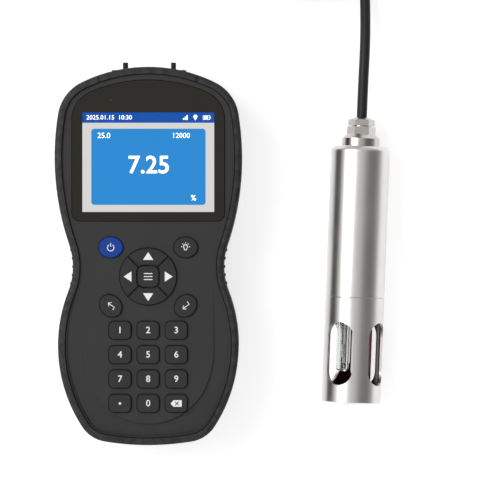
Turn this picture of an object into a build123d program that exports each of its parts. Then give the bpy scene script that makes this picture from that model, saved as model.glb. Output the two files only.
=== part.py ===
from build123d import *

import os
from math import atan2, cos, degrees, pi, radians, sin, sqrt, tan

# A portable water quality meter: a handset in a rubber boot, lying on its back with the screen up, and
# beside it an immersion probe, whose cable is put away in a coil and ends in a plug.
# Millimetres. The origin is the middle of the handset's flat back. +X is to the handset's right, +Y points
# to its sockets and +Z out of its screen.

# Length and width of the handset. What is on it is drawn in shares of them, and its arcs in shares of how
# deep its sides and ends bend, so that it keeps its shape when either changes.
handset_length = 202.6
shoulder_w = 100.4
side_bend = handset_length**2 / shoulder_w
end_bend = shoulder_w**2 / handset_length
middle_size = sqrt(handset_length * shoulder_w)

# Outline of the boot, seen from the front
arch_r = 1.62801 * end_bend
upper_corner_r = 23.0
shoulder_y = 0.261599 * handset_length
shoulder_r = 0.354669 * side_bend
waist_w = 0.804781 * shoulder_w
waist_r = 0.088056 * side_bend
hip_w = 0.964143 * shoulder_w
hip_r = 0.194456 * side_bend
lower_corner_r = 18.0
foot_r = 2.854042 * end_bend

# Rubber boot
boot_top = 42.0
boot_wall = 2.8
front_lip_w = 0.9
front_lip_t = 2.0
rear_lip_w = 6.2
rear_lip_t = 2.0
boot_rear_round = 4.0
boot_front_round = 2.4
boot_fit = 0.1
grip_rib_r = 1.1
grip_rib_proud = 0.6
grip_rib_pitch = 7.2
grip_rib_count = 5
grip_rib_low = 6.0
grip_rib_high = 36.0
groove_w = 1.4
groove_depth = 0.6
groove_pitch = 7.0
groove_count = 6
notch_x = 0.268924 * shoulder_w
notch_w = 1.0
notch_depth = 0.8

# Shells
shell_wall = 2.4
split_z = 20.0
face_rise = 0.6
face_round = 0.5
rear_floor = 4.6
gasket_w = 0.8
gasket_t = 0.8
screw_spots = [
    (0.239044 * shoulder_w, 0.419546 * handset_length),
    (0.308765 * shoulder_w, 0.056762 * handset_length),
    (0.263944 * shoulder_w, -0.384995 * handset_length),
]
boss_r = 4.0
board_boss_r = 3.0
screw_hole_r = 1.7
pilot_r = 1.55
screw_r = 1.5
screw_head_r = 2.8
screw_head_t = 2.0
screw_head_sunk = 1.2
screw_head_fit = 0.3
recess_w = 2.8
recess_slot = 0.8
recess_depth = 0.9
screw_tip_z = 33.0
pilot_spare = 1.0

# Raised keypad field, whose edge fades out towards the screen
field_w = 0.695219 * shoulder_w
field_side_y = -0.246792 * handset_length
field_turn = (0.310757 * shoulder_w, -0.339585 * handset_length)
field_foot_y = -0.442251 * handset_length
field_fade_y = -0.074038 * handset_length
field_slope = 1.1
field_margin = 1.0

# Window and screen
window_w = 0.816733 * shoulder_w
window_foot_y = 0.091313 * handset_length
window_top_y = 0.465449 * handset_length
window_arch_r = 1.567713 * end_bend
window_corner_r = 16.0
window_foot_r = 4.5
window_t = 1.4
window_bevel = 0.28
window_pocket = 1.0
window_fit = 0.15
screen_w = 0.705179 * shoulder_w
screen_h = 0.263574 * handset_length
screen_y = 0.247779 * handset_length
screen_opening_fit = 0.3
module_w = 0.76494 * shoulder_w
module_h = 0.314906 * handset_length
module_foot_y = 0.081441 * handset_length
module_t = 3.4
module_fit = 0.1
module_corner_r = 1.4

# Keys
key_rise = 1.4
key_travel = 0.8
key_gap = 0.35
key_chamfer = 0.4
key_flange_w = 0.8
key_flange_t = 0.7
key_flange_fit = 0.1
oval_w = 0.128486 * shoulder_w
oval_h = 0.054788 * handset_length
oval_x = 0.199203 * shoulder_w
top_oval_y = 0.022705 * handset_length
low_oval_y = -0.131787 * handset_length
oval_turn = 45.0
pad_y = -0.054294 * handset_length
pad_r = 0.106575 * middle_size
pad_gap = 0.45
menu_w = 0.079932 * middle_size
menu_r = 3.4
block_w = 0.11753 * shoulder_w
block_h = 0.047384 * handset_length
block_r = 2.7
block_pitch_x = 0.15 * shoulder_w
block_pitch_y = 0.064314 * handset_length
block_top_y = -0.196199 * handset_length

# Keypad mat, switches and board
mat_gap = 0.4
mat_t = 1.6
mat_upper_w = 0.52988 * shoulder_w
mat_lower_w = 0.442231 * shoulder_w
mat_top_y = 0.062192 * handset_length
mat_step_y = -0.17769 * handset_length
mat_foot_y = -0.424482 * handset_length
plunger_r = 2.0
plunger_t = 1.5
plunger_fit = 0.1
dome_r = 2.5
dome_t = 1.4
board_t = 1.6
board_w = 0.63745 * shoulder_w
board_top_y = 0.41461 * handset_length
board_foot_y = -0.424482 * handset_length
board_corner_r = 12.0
board_hole_fit = 0.3
board_seat_fit = 0.05

# Battery bay in the back
door_w = 0.517928 * shoulder_w
door_top_y = -0.039487 * handset_length
door_foot_y = -0.345508 * handset_length
door_t = 2.0
door_fit = 0.15
door_corner_r = 4.0
door_ledge = 1.5
door_screw_side = 6.0
door_screw_inset = 3.6
door_groove_up = 12.6
door_groove_pitch = 3.4
door_boss_top = 14.0
door_screw_tip = 12.0
door_screw_sunk = 0.4
door_head_t = 1.4
bay_h = 16.0
bay_wall = 1.6
bay_top_y = -0.076505 * handset_length
battery_fit = 0.3
battery_corner_r = 2.0

# Port plate, sockets and dust caps
plate_w = 40.0
plate_h = 24.0
plate_sunk = 1.3
plate_t = 6.6
plate_corner_r = 3.0
plate_fit = 0.15
socket_x = 13.0
socket_z = 21.0
socket_r = 4.6
socket_depth = 6.0
socket_seat_r = 4.1
socket_wall = 0.8
socket_fit = 0.1
socket_flange_r = 6.8
socket_flange_t = 1.6
insert_t = 4.0
insert_fit = 0.05
cap_r = 5.9
cap_t = 1.5
cap_fit = 0.3
cap_seat_fit = 0.1
cap_plug_r = 5.1
cap_plug_t = 1.5
cap_plug_bore_r = 3.6
cap_plug_fit = 0.3
tab_w = 2.6
tab_rise = 4.5
tab_h = 8.0
lug_w = 5.0
lug_below = 0.7
lug_sweep_fit = 0.6

# Probe, measured along its axis from the open end
probe_tip = (109.3, -79.4)
probe_lean = 2.2
probe_r = 16.0
body_wall = 2.5
guard_length = 57.0
body_length = 82.0
body_round = 3.2
guard_wall = 2.0
slot_w = 15.5
slot_length = 34.0
slot_start = 13.5
slot_count = 4
slot_turn = -31.0
seam_groove = 0.4
spigot_length = 10.0
spigot_fit = 0.35
spigot_wall = 2.2
body_end_t = 6.0
wire_hole_r = 3.0
collar_r = 10.25
collar_straight = 4.2
collar_length = 6.6
collar_top_r = 7.6
gland_flats = 13.4
gland_length = 4.6
gland_groove = 0.5
nut_flats = 12.6
nut_straight = 3.0
nut_length = 4.4
nut_top_r = 3.9
nut_bore_fit = 0.1
gland_core_r = 5.0
seal_t = 1.2

# Sensor head and what stands in the guard
head_face_t = 2.5
head_plug_r = 10.6
head_plug_length = 18.0
ring_r = 0.9
ring_pitch = 4.4
ring_fit = 0.3
glass_spot = (-5.6, 3.4)
glass_r = 3.5
glass_wall = 0.7
glass_length = 28.0
wire_r = 0.5
wire_length = 20.0
wire_coil_r = 1.3
wire_coil_length = 7.0
cell_spot = (5.4, -0.6)
cell_r = 4.75
cell_length = 34.0
cell_round = 0.8
thermo_spot = (-3.2, -7.4)
thermo_r = 2.0
thermo_length = 24.0
thermo_round = 1.0
probe_board_w = 20.0
probe_board_t = 1.6
probe_board_length = 40.0

# Cable, coil and plug
cable_d = 5.6
lead_straight = 21.5
lead_bends = [(117.2, 114.5, 14.0), (117.5, 132.5, 9.0), (117.2, 150.0, 5.3)]
lead_joins = 14.0
tail_bends = [(61.5, 217.6, 18.8), (43.0, 212.8, 13.4), (26.0, 205.0, 9.6), (10.0, 196.4, 8.2)]
bend_share = 0.45
turn_pitch = 5.7
coil_columns = 4
coil_layers = 4
coil_mean_r = 28.0
coil_centre = (80.5, 182.0)
coil_lift = 1.3
coil_round = 2.6
tie_t = 1.1
tie_fit = 0.1
tie_angle = 205.0
tie_sweep = 20.0
plug_start = (-5.0, 187.6, 7.1)
plug_boot_r = 3.6
plug_boot_length = 14.0
plug_back_r = 4.8
plug_body_r = 6.1
plug_body_length = 14.0
plug_core_r = 4.9
ring_outer_r = 6.8
ring_length = 12.0
ring_gap = 0.3
nose_r = 4.35
nose_length = 6.0
nose_wall = 0.8
contact_r = 0.5
contact_length = 4.0
contact_count = 4
contact_circle_r = 2.1

# Levels and places that follow from the sizes above
half_length = handset_length / 2
plate_face_y = half_length - plate_sunk
shell_inset = boot_wall + boot_fit
ledge_inset = boot_wall + front_lip_w + boot_fit
cavity_inset = shell_inset + shell_wall
ledge_z = boot_top - front_lip_t - boot_fit
face_z = ledge_z + boot_fit + face_rise
cavity_top = face_z - shell_wall
key_top = face_z + key_rise
flange_top = cavity_top - key_flange_fit
key_foot = flange_top - key_flange_t
mat_top = key_foot - key_travel - mat_gap
dome_top = mat_top - mat_t - plunger_t - plunger_fit
board_top = dome_top - dome_t
board_low = board_top - board_t
cap_pocket_r = cap_r + cap_fit
cap_back_y = plate_face_y - cap_t
socket_face_y = cap_back_y - cap_plug_t - cap_plug_fit
plate_back_y = plate_face_y - plate_t
lug_r = cap_t / 2
hinge_y = plate_face_y - lug_r
hinge_z = socket_z - cap_pocket_r - lug_below
all_screws = [(side * x, y) for x, y in screw_spots for side in (-1, 1)]

os.makedirs("parts", exist_ok=True)


def nested(first, second, radius):
    """A circle of that radius that touches two larger circles from inside, on their right."""
    gap = sqrt((second[0] - first[0]) ** 2 + (second[1] - first[1]) ** 2)
    reach_first = first[2] - radius
    reach_second = second[2] - radius
    along = (reach_first**2 - reach_second**2 + gap**2) / (2 * gap)
    aside = sqrt(reach_first**2 - along**2)
    ux = (second[0] - first[0]) / gap
    uy = (second[1] - first[1]) / gap
    ends = [(first[0] + along * ux - s * aside * uy, first[1] + along * uy + s * aside * ux) for s in (-1, 1)]
    x, y = max(ends)
    return x, y, radius


def heading(start, end):
    """The direction from one point to another, in degrees."""
    return degrees(atan2(end[1] - start[1], end[0] - start[0]))


# The right half of the boot's outline is seven circles, each tangent to the next
arch = (0, half_length - arch_r, arch_r)
shoulder = (shoulder_w / 2 - shoulder_r, shoulder_y, shoulder_r)
upper_corner = nested(arch, shoulder, upper_corner_r)
waist_x = waist_w / 2 + waist_r
waist_y = shoulder_y - sqrt((shoulder_r + waist_r) ** 2 - (waist_x - shoulder[0]) ** 2)
waist = (waist_x, waist_y, waist_r)
hip_x = hip_w / 2 - hip_r
hip_y = waist_y - sqrt((hip_r + waist_r) ** 2 - (waist_x - hip_x) ** 2)
hip = (hip_x, hip_y, hip_r)
foot = (0, foot_r - half_length, foot_r)
lower_corner = nested(foot, hip, lower_corner_r)
turns = [
    90,
    heading(arch, upper_corner),
    heading(shoulder, upper_corner),
    heading(shoulder, waist),
    heading(hip, waist),
    heading(hip, lower_corner),
    heading(foot, lower_corner),
    -90,
]


def outline(inset, level):
    """The boot's outline drawn in by that much, as a face at that height."""
    circles = [arch, upper_corner, shoulder, waist, hip, lower_corner, foot]
    with BuildSketch(Plane.XY.offset(level)) as face:
        with BuildLine():
            for (x, y, radius), start, end in zip(circles, turns[:-1], turns[1:]):
                if radius == waist_r and x == waist_x:
                    CenterArc((x, y), radius + inset, start + 180, end - start)
                else:
                    CenterArc((x, y), radius - inset, start, end - start)
            mirror(about=Plane.YZ)
        make_face()
    return face.sketch


def window_face(grow, level):
    """The window's outline, grown by that much, as a face at that height."""
    half = window_w / 2 + grow
    low = window_foot_y - grow
    arch_y = window_top_y - window_arch_r
    corner_x = window_w / 2 - window_corner_r
    corner_y = arch_y + sqrt((window_arch_r - window_corner_r) ** 2 - corner_x**2)
    foot_x = window_w / 2 - window_foot_r
    foot_y = window_foot_y + window_foot_r
    tilt = heading((0, arch_y), (corner_x, corner_y))
    with BuildSketch(Plane.XY.offset(level)) as face:
        with BuildLine():
            Line((0, low), (foot_x, low))
            CenterArc((foot_x, foot_y), window_foot_r + grow, -90, 90)
            Line((half, foot_y), (half, corner_y))
            CenterArc((corner_x, corner_y), window_corner_r + grow, 0, tilt)
            CenterArc((0, arch_y), window_arch_r + grow, tilt, 90 - tilt)
            mirror(about=Plane.YZ)
        make_face()
    return face.sketch


# Every key: its kind, its middle and its turn
keys = {
    "key_power": ("oval", -oval_x, top_oval_y, 0),
    "key_lamp": ("oval", oval_x, top_oval_y, 0),
    "key_escape": ("oval", -oval_x, low_oval_y, -oval_turn),
    "key_enter": ("oval", oval_x, low_oval_y, oval_turn),
    "key_up": ("arrow", 0, pad_y, 0),
    "key_left": ("arrow", 0, pad_y, 90),
    "key_down": ("arrow", 0, pad_y, 180),
    "key_right": ("arrow", 0, pad_y, 270),
    "key_menu": ("menu", 0, pad_y, 0),
}
for spot, legend in enumerate(["1", "2", "3", "4", "5", "6", "7", "8", "9", "dot", "0", "delete"]):
    block_x = (spot % 3 - 1) * block_pitch_x
    block_y = block_top_y - spot // 3 * block_pitch_y
    keys["key_" + legend] = ("block", block_x, block_y, 0)


def key_face(name, grow, level):
    """A key's outline, grown by that much, as a face at that height."""
    kind, x, y, turn = keys[name]
    across = (cos(radians(turn)), sin(radians(turn)), 0)
    with BuildSketch(Plane(origin=(x, y, level), x_dir=across, z_dir=(0, 0, 1))) as face:
        if kind == "oval":
            Ellipse(oval_w / 2 + grow, oval_h / 2 + grow)
        elif kind == "block":
            RectangleRounded(block_w + 2 * grow, block_h + 2 * grow, block_r + grow)
        elif kind == "menu":
            RectangleRounded(menu_w + 2 * grow, menu_w + 2 * grow, menu_r + grow)
        else:
            inner_w = menu_w + 2 * pad_gap
            apex = pad_gap / sqrt(2)
            reach = 2 * pad_r
            Circle(pad_r + grow)
            RectangleRounded(inner_w, inner_w, menu_r + pad_gap, mode=Mode.SUBTRACT)
            Polygon((0, apex), (reach, apex + reach), (-reach, apex + reach), align=None, mode=Mode.INTERSECT)
    return face.sketch


def plunger_spots():
    """Where each key presses its switch: the middle of a key, or of an arrow key's own face."""
    spots = []
    for kind, x, y, turn in keys.values():
        out = (menu_w / 2 + pad_gap + pad_r) / 2 if kind == "arrow" else 0
        spots.append((x - out * sin(radians(turn)), y + out * cos(radians(turn))))
    return spots


def port_plane(y):
    """A plane across the sockets at that place along Y, on which extrusions go into the handset."""
    return Plane(origin=(0, y, socket_z), x_dir=(1, 0, 0), z_dir=(0, -1, 0))


# Rubber boot: a sleeve round both shells, with a narrow lip in front and a wide one behind
with BuildPart() as rubber_boot:
    extrude(outline(0, 0), amount=boot_top)
    fillet(rubber_boot.edges().group_by(Axis.Z)[0], boot_rear_round)
    fillet(rubber_boot.edges().group_by(Axis.Z)[-1], boot_front_round)
    for side in (-1, 1):
        for step in range(grip_rib_count):
            rib_turn = 180 + (step - (grip_rib_count - 1) / 2) * grip_rib_pitch
            rib_out = waist_r + grip_rib_r - grip_rib_proud
            rib_x = waist_x + rib_out * cos(radians(rib_turn))
            rib_y = waist_y + rib_out * sin(radians(rib_turn))
            with BuildSketch(Plane.XY.offset(grip_rib_low)):
                with Locations((side * rib_x, rib_y)):
                    Circle(grip_rib_r)
            extrude(amount=grip_rib_high - grip_rib_low)
    extrude(outline(boot_wall, rear_lip_t), amount=boot_top - front_lip_t - rear_lip_t, mode=Mode.SUBTRACT)
    extrude(outline(boot_wall + front_lip_w, boot_top - front_lip_t), amount=front_lip_t, mode=Mode.SUBTRACT)
    extrude(outline(boot_wall + rear_lip_w, 0), amount=rear_lip_t, mode=Mode.SUBTRACT)
    for side in (-1, 1):
        for step in range(groove_count):
            groove_turn = (step + 0.5) * groove_pitch
            groove_x = side * (upper_corner[0] + upper_corner_r * cos(radians(groove_turn)))
            groove_y = upper_corner[1] + upper_corner_r * sin(radians(groove_turn))
            groove_dir = (side * cos(radians(groove_turn)), sin(radians(groove_turn)), 0)
            groove_plane = Plane(origin=(groove_x, groove_y, grip_rib_low), x_dir=groove_dir, z_dir=(0, 0, 1))
            with BuildSketch(groove_plane):
                Rectangle(2 * groove_depth, groove_w)
            extrude(amount=grip_rib_high - grip_rib_low, mode=Mode.SUBTRACT)
        notch_turn = degrees(atan2(sqrt(arch_r**2 - notch_x**2), side * notch_x))
        notch_dir = (cos(radians(notch_turn)), sin(radians(notch_turn)), 0)
        notch_y = arch[1] + arch_r * sin(radians(notch_turn))
        with BuildSketch(Plane(origin=(side * notch_x, notch_y, boot_top), x_dir=notch_dir, z_dir=(0, 0, 1))):
            Rectangle(2 * (boot_wall + front_lip_w + groove_depth), notch_w)
        extrude(amount=-notch_depth, mode=Mode.SUBTRACT)
    with BuildSketch(port_plane(half_length + groove_depth)):
        RectangleRounded(plate_w + 2 * plate_fit, plate_h + 2 * plate_fit, plate_corner_r + plate_fit)
    extrude(amount=half_length - plate_back_y, mode=Mode.SUBTRACT)
rubber_boot.part.label = "rubber_boot"
export_step(rubber_boot.part, "parts/rubber_boot.step")

# Front shell: the face with its raised keypad field, and bosses for the board and the screws
with BuildPart() as front_shell:
    extrude(outline(shell_inset, split_z), amount=ledge_z - split_z)
    extrude(outline(ledge_inset, ledge_z), amount=face_z - ledge_z)
    fillet(front_shell.edges().group_by(Axis.Z)[-1], face_round)
    slope_dir = (0, -sin(radians(field_slope)), 1)
    slope_plane = Plane(origin=(0, field_fade_y, face_z), x_dir=(1, 0, 0), z_dir=slope_dir)
    with BuildSketch(slope_plane):
        add(Plane.XY * Pos(0, -field_fade_y, 0) * outline(ledge_inset + field_margin, 0))
        with BuildLine():
            field_half = field_w / 2
            field_line = Line((field_half, half_length), (field_half, field_side_y - field_fade_y))
            field_side = TangentArc(
                field_line @ 1, (field_turn[0], field_turn[1] - field_fade_y), tangent=field_line % 1
            )
            TangentArc(field_side @ 1, (0, field_foot_y - field_fade_y), tangent=field_side % 1)
            Line((field_half, half_length), (0, half_length))
            mirror(about=Plane.YZ)
        make_face(mode=Mode.SUBTRACT)
        with Locations((0, half_length)):
            Rectangle(handset_length, handset_length, mode=Mode.SUBTRACT)
    extrude(amount=shell_wall, mode=Mode.SUBTRACT)
    extrude(outline(cavity_inset, split_z), amount=cavity_top - split_z, mode=Mode.SUBTRACT)
    with BuildSketch(Plane.XY.offset(cavity_top)):
        with Locations(*all_screws):
            Circle(boss_r)
    extrude(amount=board_top + board_seat_fit - cavity_top)
    with BuildSketch(Plane.XY.offset(board_top + board_seat_fit)):
        with Locations(*all_screws):
            Circle(board_boss_r)
    extrude(amount=split_z - board_top - board_seat_fit)
    with BuildSketch(Plane.XY.offset(split_z)):
        with Locations(*all_screws):
            Circle(pilot_r)
    extrude(amount=screw_tip_z + pilot_spare - split_z, mode=Mode.SUBTRACT)
    extrude(window_face(window_fit, face_z - window_pocket), amount=window_pocket, mode=Mode.SUBTRACT)
    with BuildSketch(Plane.XY.offset(cavity_top)):
        with Locations((0, screen_y)):
            Rectangle(screen_w + 2 * screen_opening_fit, screen_h + 2 * screen_opening_fit)
        with Locations((0, pad_y)):
            Circle(pad_r + key_gap)
    extrude(amount=shell_wall, mode=Mode.SUBTRACT)
    for name, (kind, *place) in keys.items():
        if kind in ("oval", "block"):
            extrude(key_face(name, key_gap, cavity_top), amount=shell_wall, mode=Mode.SUBTRACT)
    with BuildSketch(port_plane(half_length)):
        RectangleRounded(plate_w + 2 * plate_fit, plate_h + 2 * plate_fit, plate_corner_r + plate_fit)
    extrude(amount=half_length - plate_back_y + shell_wall, mode=Mode.SUBTRACT)
front_shell.part.label = "front_shell"
export_step(front_shell.part, "parts/front_shell.step")

# Rear shell: a tray with a battery bay that opens to the back
bay_w = door_w - 2 * door_ledge
bay_foot_y = door_foot_y + door_ledge
bay_y = (bay_top_y + bay_foot_y) / 2
bay_l = bay_top_y - bay_foot_y
bay_top = door_t + bay_h
door_y = (door_top_y + door_foot_y) / 2
door_l = door_top_y - door_foot_y
door_screw_x = door_w / 2 - door_screw_side
door_screws = [(side * door_screw_x, door_top_y - door_screw_inset) for side in (-1, 1)]
gasket_inset = shell_inset + (shell_wall - gasket_w) / 2
with BuildPart() as rear_shell:
    extrude(outline(boot_wall + rear_lip_w + boot_fit, 0), amount=rear_lip_t + boot_fit)
    extrude(outline(shell_inset, rear_lip_t + boot_fit), amount=split_z - rear_lip_t - boot_fit)
    extrude(outline(cavity_inset, rear_floor), amount=split_z - rear_floor, mode=Mode.SUBTRACT)
    with BuildSketch(Plane.XY.offset(rear_floor)):
        with Locations((0, bay_y)):
            RectangleRounded(bay_w + 2 * bay_wall, bay_l + 2 * bay_wall, battery_corner_r + bay_wall)
    extrude(amount=bay_top + bay_wall - rear_floor)
    with BuildSketch(Plane.XY.offset(door_t)):
        with Locations((0, bay_y)):
            RectangleRounded(bay_w, bay_l, battery_corner_r)
    extrude(amount=bay_h, mode=Mode.SUBTRACT)
    with BuildSketch(Plane.XY):
        with Locations((0, door_y)):
            RectangleRounded(door_w + 2 * door_fit, door_l + 2 * door_fit, door_corner_r + door_fit)
    extrude(amount=door_t, mode=Mode.SUBTRACT)
    with BuildSketch(Plane.XY.offset(rear_floor)):
        with Locations(*all_screws):
            Circle(boss_r)
    extrude(amount=split_z - rear_floor)
    with BuildSketch(Plane.XY.offset(rear_floor)):
        with Locations(*door_screws):
            Circle(boss_r)
    extrude(amount=door_boss_top - rear_floor)
    with BuildSketch(Plane.XY):
        with Locations(*all_screws):
            Circle(screw_hole_r)
    extrude(amount=split_z, mode=Mode.SUBTRACT)
    with BuildSketch(Plane.XY):
        with Locations(*all_screws):
            Circle(screw_head_r + screw_head_fit)
    extrude(amount=screw_head_sunk + screw_head_t, mode=Mode.SUBTRACT)
    with BuildSketch(Plane.XY.offset(door_t)):
        with Locations(*door_screws):
            Circle(pilot_r)
    extrude(amount=door_screw_tip - door_t, mode=Mode.SUBTRACT)
    extrude(outline(gasket_inset, split_z - gasket_t), amount=gasket_t, mode=Mode.SUBTRACT)
    extrude(outline(gasket_inset + gasket_w, split_z - gasket_t), amount=gasket_t)
    extrude(outline(cavity_inset, split_z - gasket_t), amount=gasket_t, mode=Mode.SUBTRACT)
    with BuildSketch(Plane.XY.offset(split_z - gasket_t)):
        with Locations(*all_screws):
            Circle(boss_r)
            Circle(screw_hole_r, mode=Mode.SUBTRACT)
    extrude(amount=gasket_t)
    with BuildSketch(port_plane(half_length)):
        RectangleRounded(plate_w + 2 * plate_fit, plate_h + 2 * plate_fit, plate_corner_r + plate_fit)
    extrude(amount=half_length - plate_back_y + shell_wall, mode=Mode.SUBTRACT)
rear_shell.part.label = "rear_shell"
export_step(rear_shell.part, "parts/rear_shell.step")

# Gasket in the rear shell's rim, open where the port plate passes
with BuildPart() as shell_gasket:
    extrude(outline(gasket_inset, split_z - gasket_t), amount=gasket_t)
    extrude(outline(gasket_inset + gasket_w, split_z - gasket_t), amount=gasket_t, mode=Mode.SUBTRACT)
    with BuildSketch(port_plane(half_length)):
        Rectangle(plate_w + 2 * plate_fit, plate_h)
    extrude(amount=half_length - plate_back_y + shell_wall, mode=Mode.SUBTRACT)
shell_gasket.part.label = "shell_gasket"
export_step(shell_gasket.part, "parts/shell_gasket.step")

# Screws, each group of them in one node
with BuildPart() as case_screws:
    with BuildSketch(Plane.XY.offset(screw_head_sunk)):
        with Locations(*all_screws):
            Circle(screw_head_r)
    extrude(amount=screw_head_t)
    with BuildSketch(Plane.XY.offset(screw_head_sunk)):
        with Locations(*all_screws):
            Circle(screw_r)
    extrude(amount=screw_tip_z - screw_head_sunk)
    with BuildSketch(Plane.XY.offset(screw_head_sunk)):
        with Locations(*all_screws):
            Rectangle(recess_w, recess_slot)
            Rectangle(recess_slot, recess_w)
    extrude(amount=recess_depth, mode=Mode.SUBTRACT)
case_screws.part.label = "case_screws"
export_step(case_screws.part, "parts/case_screws.step")

with BuildPart() as door_screws_part:
    with BuildSketch(Plane.XY.offset(door_screw_sunk)):
        with Locations(*door_screws):
            Circle(screw_head_r)
    extrude(amount=door_head_t)
    with BuildSketch(Plane.XY.offset(door_screw_sunk)):
        with Locations(*door_screws):
            Circle(screw_r)
    extrude(amount=door_screw_tip - pilot_spare - door_screw_sunk)
    with BuildSketch(Plane.XY.offset(door_screw_sunk)):
        with Locations(*door_screws):
            Rectangle(recess_w, recess_slot)
            Rectangle(recess_slot, recess_w)
    extrude(amount=recess_depth, mode=Mode.SUBTRACT)
door_screws_part.part.label = "door_screws"
export_step(door_screws_part.part, "parts/door_screws.step")

# Battery door with finger grooves, and the battery behind it
with BuildPart() as battery_door:
    with BuildSketch(Plane.XY):
        with Locations((0, door_y)):
            RectangleRounded(door_w, door_l, door_corner_r)
    extrude(amount=door_t)
    with BuildSketch(Plane.XY):
        with Locations(*door_screws):
            Circle(screw_head_r + screw_head_fit)
    extrude(amount=door_screw_sunk + door_head_t, mode=Mode.SUBTRACT)
    with BuildSketch(Plane.XY):
        with Locations(*door_screws):
            Circle(screw_hole_r)
    extrude(amount=door_t, mode=Mode.SUBTRACT)
    with BuildSketch(Plane.XY):
        with Locations((0, door_foot_y + door_groove_up)):
            with GridLocations(0, door_groove_pitch, 1, groove_count):
                SlotOverall(door_w / 2, groove_w)
    extrude(amount=groove_depth, mode=Mode.SUBTRACT)
battery_door.part.label = "battery_door"
export_step(battery_door.part, "parts/battery_door.step")

with BuildPart() as battery_pack:
    with BuildSketch(Plane.XY.offset(door_t + battery_fit)):
        with Locations((0, bay_y)):
            RectangleRounded(bay_w - 2 * battery_fit, bay_l - 2 * battery_fit, battery_corner_r)
    extrude(amount=bay_h - 2 * battery_fit)
battery_pack.part.label = "battery_pack"
export_step(battery_pack.part, "parts/battery_pack.step")

# Window over the screen, and the screen's module, whose glass stands in the shell's opening
with BuildPart() as display_window:
    extrude(window_face(0, face_z - window_pocket), amount=window_t)
    chamfer(display_window.edges().group_by(Axis.Z)[-1], window_bevel)
display_window.part.label = "display_window"
export_step(display_window.part, "parts/display_window.step")

with BuildPart() as lcd_module:
    with BuildSketch(Plane.XY.offset(cavity_top - module_fit)):
        with Locations((0, module_foot_y + module_h / 2)):
            RectangleRounded(module_w, module_h, module_corner_r)
    extrude(amount=-module_t)
    with BuildSketch(Plane.XY.offset(cavity_top - module_fit)):
        with Locations((0, screen_y)):
            Rectangle(screen_w, screen_h)
    extrude(amount=shell_wall - window_pocket)
lcd_module.part.label = "lcd_module"
export_step(lcd_module.part, "parts/lcd_module.step")

# Keys: each has a flange below the face that keeps it in, and a bevelled top
for name, (kind, *place) in keys.items():
    with BuildPart() as key:
        extrude(key_face(name, 0, key_foot), amount=key_top - key_foot)
        chamfer(key.edges().group_by(Axis.Z)[-1], key_chamfer)
        if kind != "menu":
            extrude(key_face(name, key_flange_w, key_foot), amount=key_flange_t)
    key.part.label = name
    export_step(key.part, "parts/" + name + ".step")

# Silicone mat with a plunger over each dome switch
with BuildPart() as keypad_mat:
    with BuildSketch(Plane.XY.offset(mat_top - mat_t)):
        with Locations((0, (mat_top_y + mat_step_y) / 2)):
            Rectangle(mat_upper_w, mat_top_y - mat_step_y)
        with Locations((0, (mat_step_y + mat_foot_y) / 2)):
            Rectangle(mat_lower_w, mat_step_y - mat_foot_y)
    extrude(amount=mat_t)
    with BuildSketch(Plane.XY.offset(mat_top - mat_t)):
        with Locations(*plunger_spots()):
            Circle(plunger_r)
    extrude(amount=-plunger_t)
keypad_mat.part.label = "keypad_mat"
export_step(keypad_mat.part, "parts/keypad_mat.step")

with BuildPart() as dome_switches:
    with BuildSketch(Plane.XY.offset(board_top)):
        with Locations(*plunger_spots()):
            Circle(dome_r)
    extrude(amount=dome_t)
dome_switches.part.label = "dome_switches"
export_step(dome_switches.part, "parts/dome_switches.step")

with BuildPart() as main_board:
    with BuildSketch(Plane.XY.offset(board_low)):
        with Locations((0, (board_top_y + board_foot_y) / 2)):
            RectangleRounded(board_w, board_top_y - board_foot_y, board_corner_r)
        with Locations(*all_screws):
            Circle(board_boss_r + board_hole_fit, mode=Mode.SUBTRACT)
    extrude(amount=board_t)
main_board.part.label = "main_board"
export_step(main_board.part, "parts/main_board.step")

# Port plate at the top end, with a pocket and a hinge slot for each dust cap
socket_spots = [(-socket_x, 0), (socket_x, 0)]
with BuildPart() as port_plate:
    with BuildSketch(port_plane(plate_face_y)):
        RectangleRounded(plate_w, plate_h, plate_corner_r)
    extrude(amount=plate_t)
    with BuildSketch(port_plane(plate_face_y)):
        with Locations(*socket_spots):
            Circle(cap_pocket_r)
        slot_low = hinge_z - socket_z - lug_r - lug_sweep_fit
        slot_high = socket_r - cap_pocket_r
        with Locations(*[(x, (slot_low + slot_high) / 2) for x, y in socket_spots]):
            Rectangle(lug_w + 2 * cap_fit, slot_high - slot_low)
    extrude(amount=cap_t + cap_seat_fit, mode=Mode.SUBTRACT)
    with BuildSketch(port_plane(plate_face_y)):
        with Locations(*socket_spots):
            Circle(socket_r + socket_wall + socket_fit)
    extrude(amount=plate_t, mode=Mode.SUBTRACT)
port_plate.part.label = "port_plate"
export_step(port_plate.part, "parts/port_plate.step")

with BuildPart() as socket_shells:
    with BuildSketch(port_plane(socket_face_y)):
        with Locations(*socket_spots):
            Circle(socket_r + socket_wall)
    extrude(amount=socket_depth + insert_t)
    with BuildSketch(port_plane(plate_back_y)):
        with Locations(*socket_spots):
            Circle(socket_flange_r)
    extrude(amount=socket_flange_t)
    with BuildSketch(port_plane(socket_face_y)):
        with Locations(*socket_spots):
            Circle(socket_r)
    extrude(amount=socket_depth, mode=Mode.SUBTRACT)
    with BuildSketch(port_plane(socket_face_y)):
        with Locations(*socket_spots):
            Circle(socket_seat_r)
    extrude(amount=socket_depth + insert_t, mode=Mode.SUBTRACT)
socket_shells.part.label = "socket_shells"
export_step(socket_shells.part, "parts/socket_shells.step")

with BuildPart() as socket_inserts:
    with BuildSketch(port_plane(socket_face_y - socket_depth)):
        with Locations(*socket_spots):
            Circle(socket_seat_r - insert_fit)
    extrude(amount=insert_t)
socket_inserts.part.label = "socket_inserts"
export_step(socket_inserts.part, "parts/socket_inserts.step")

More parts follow.
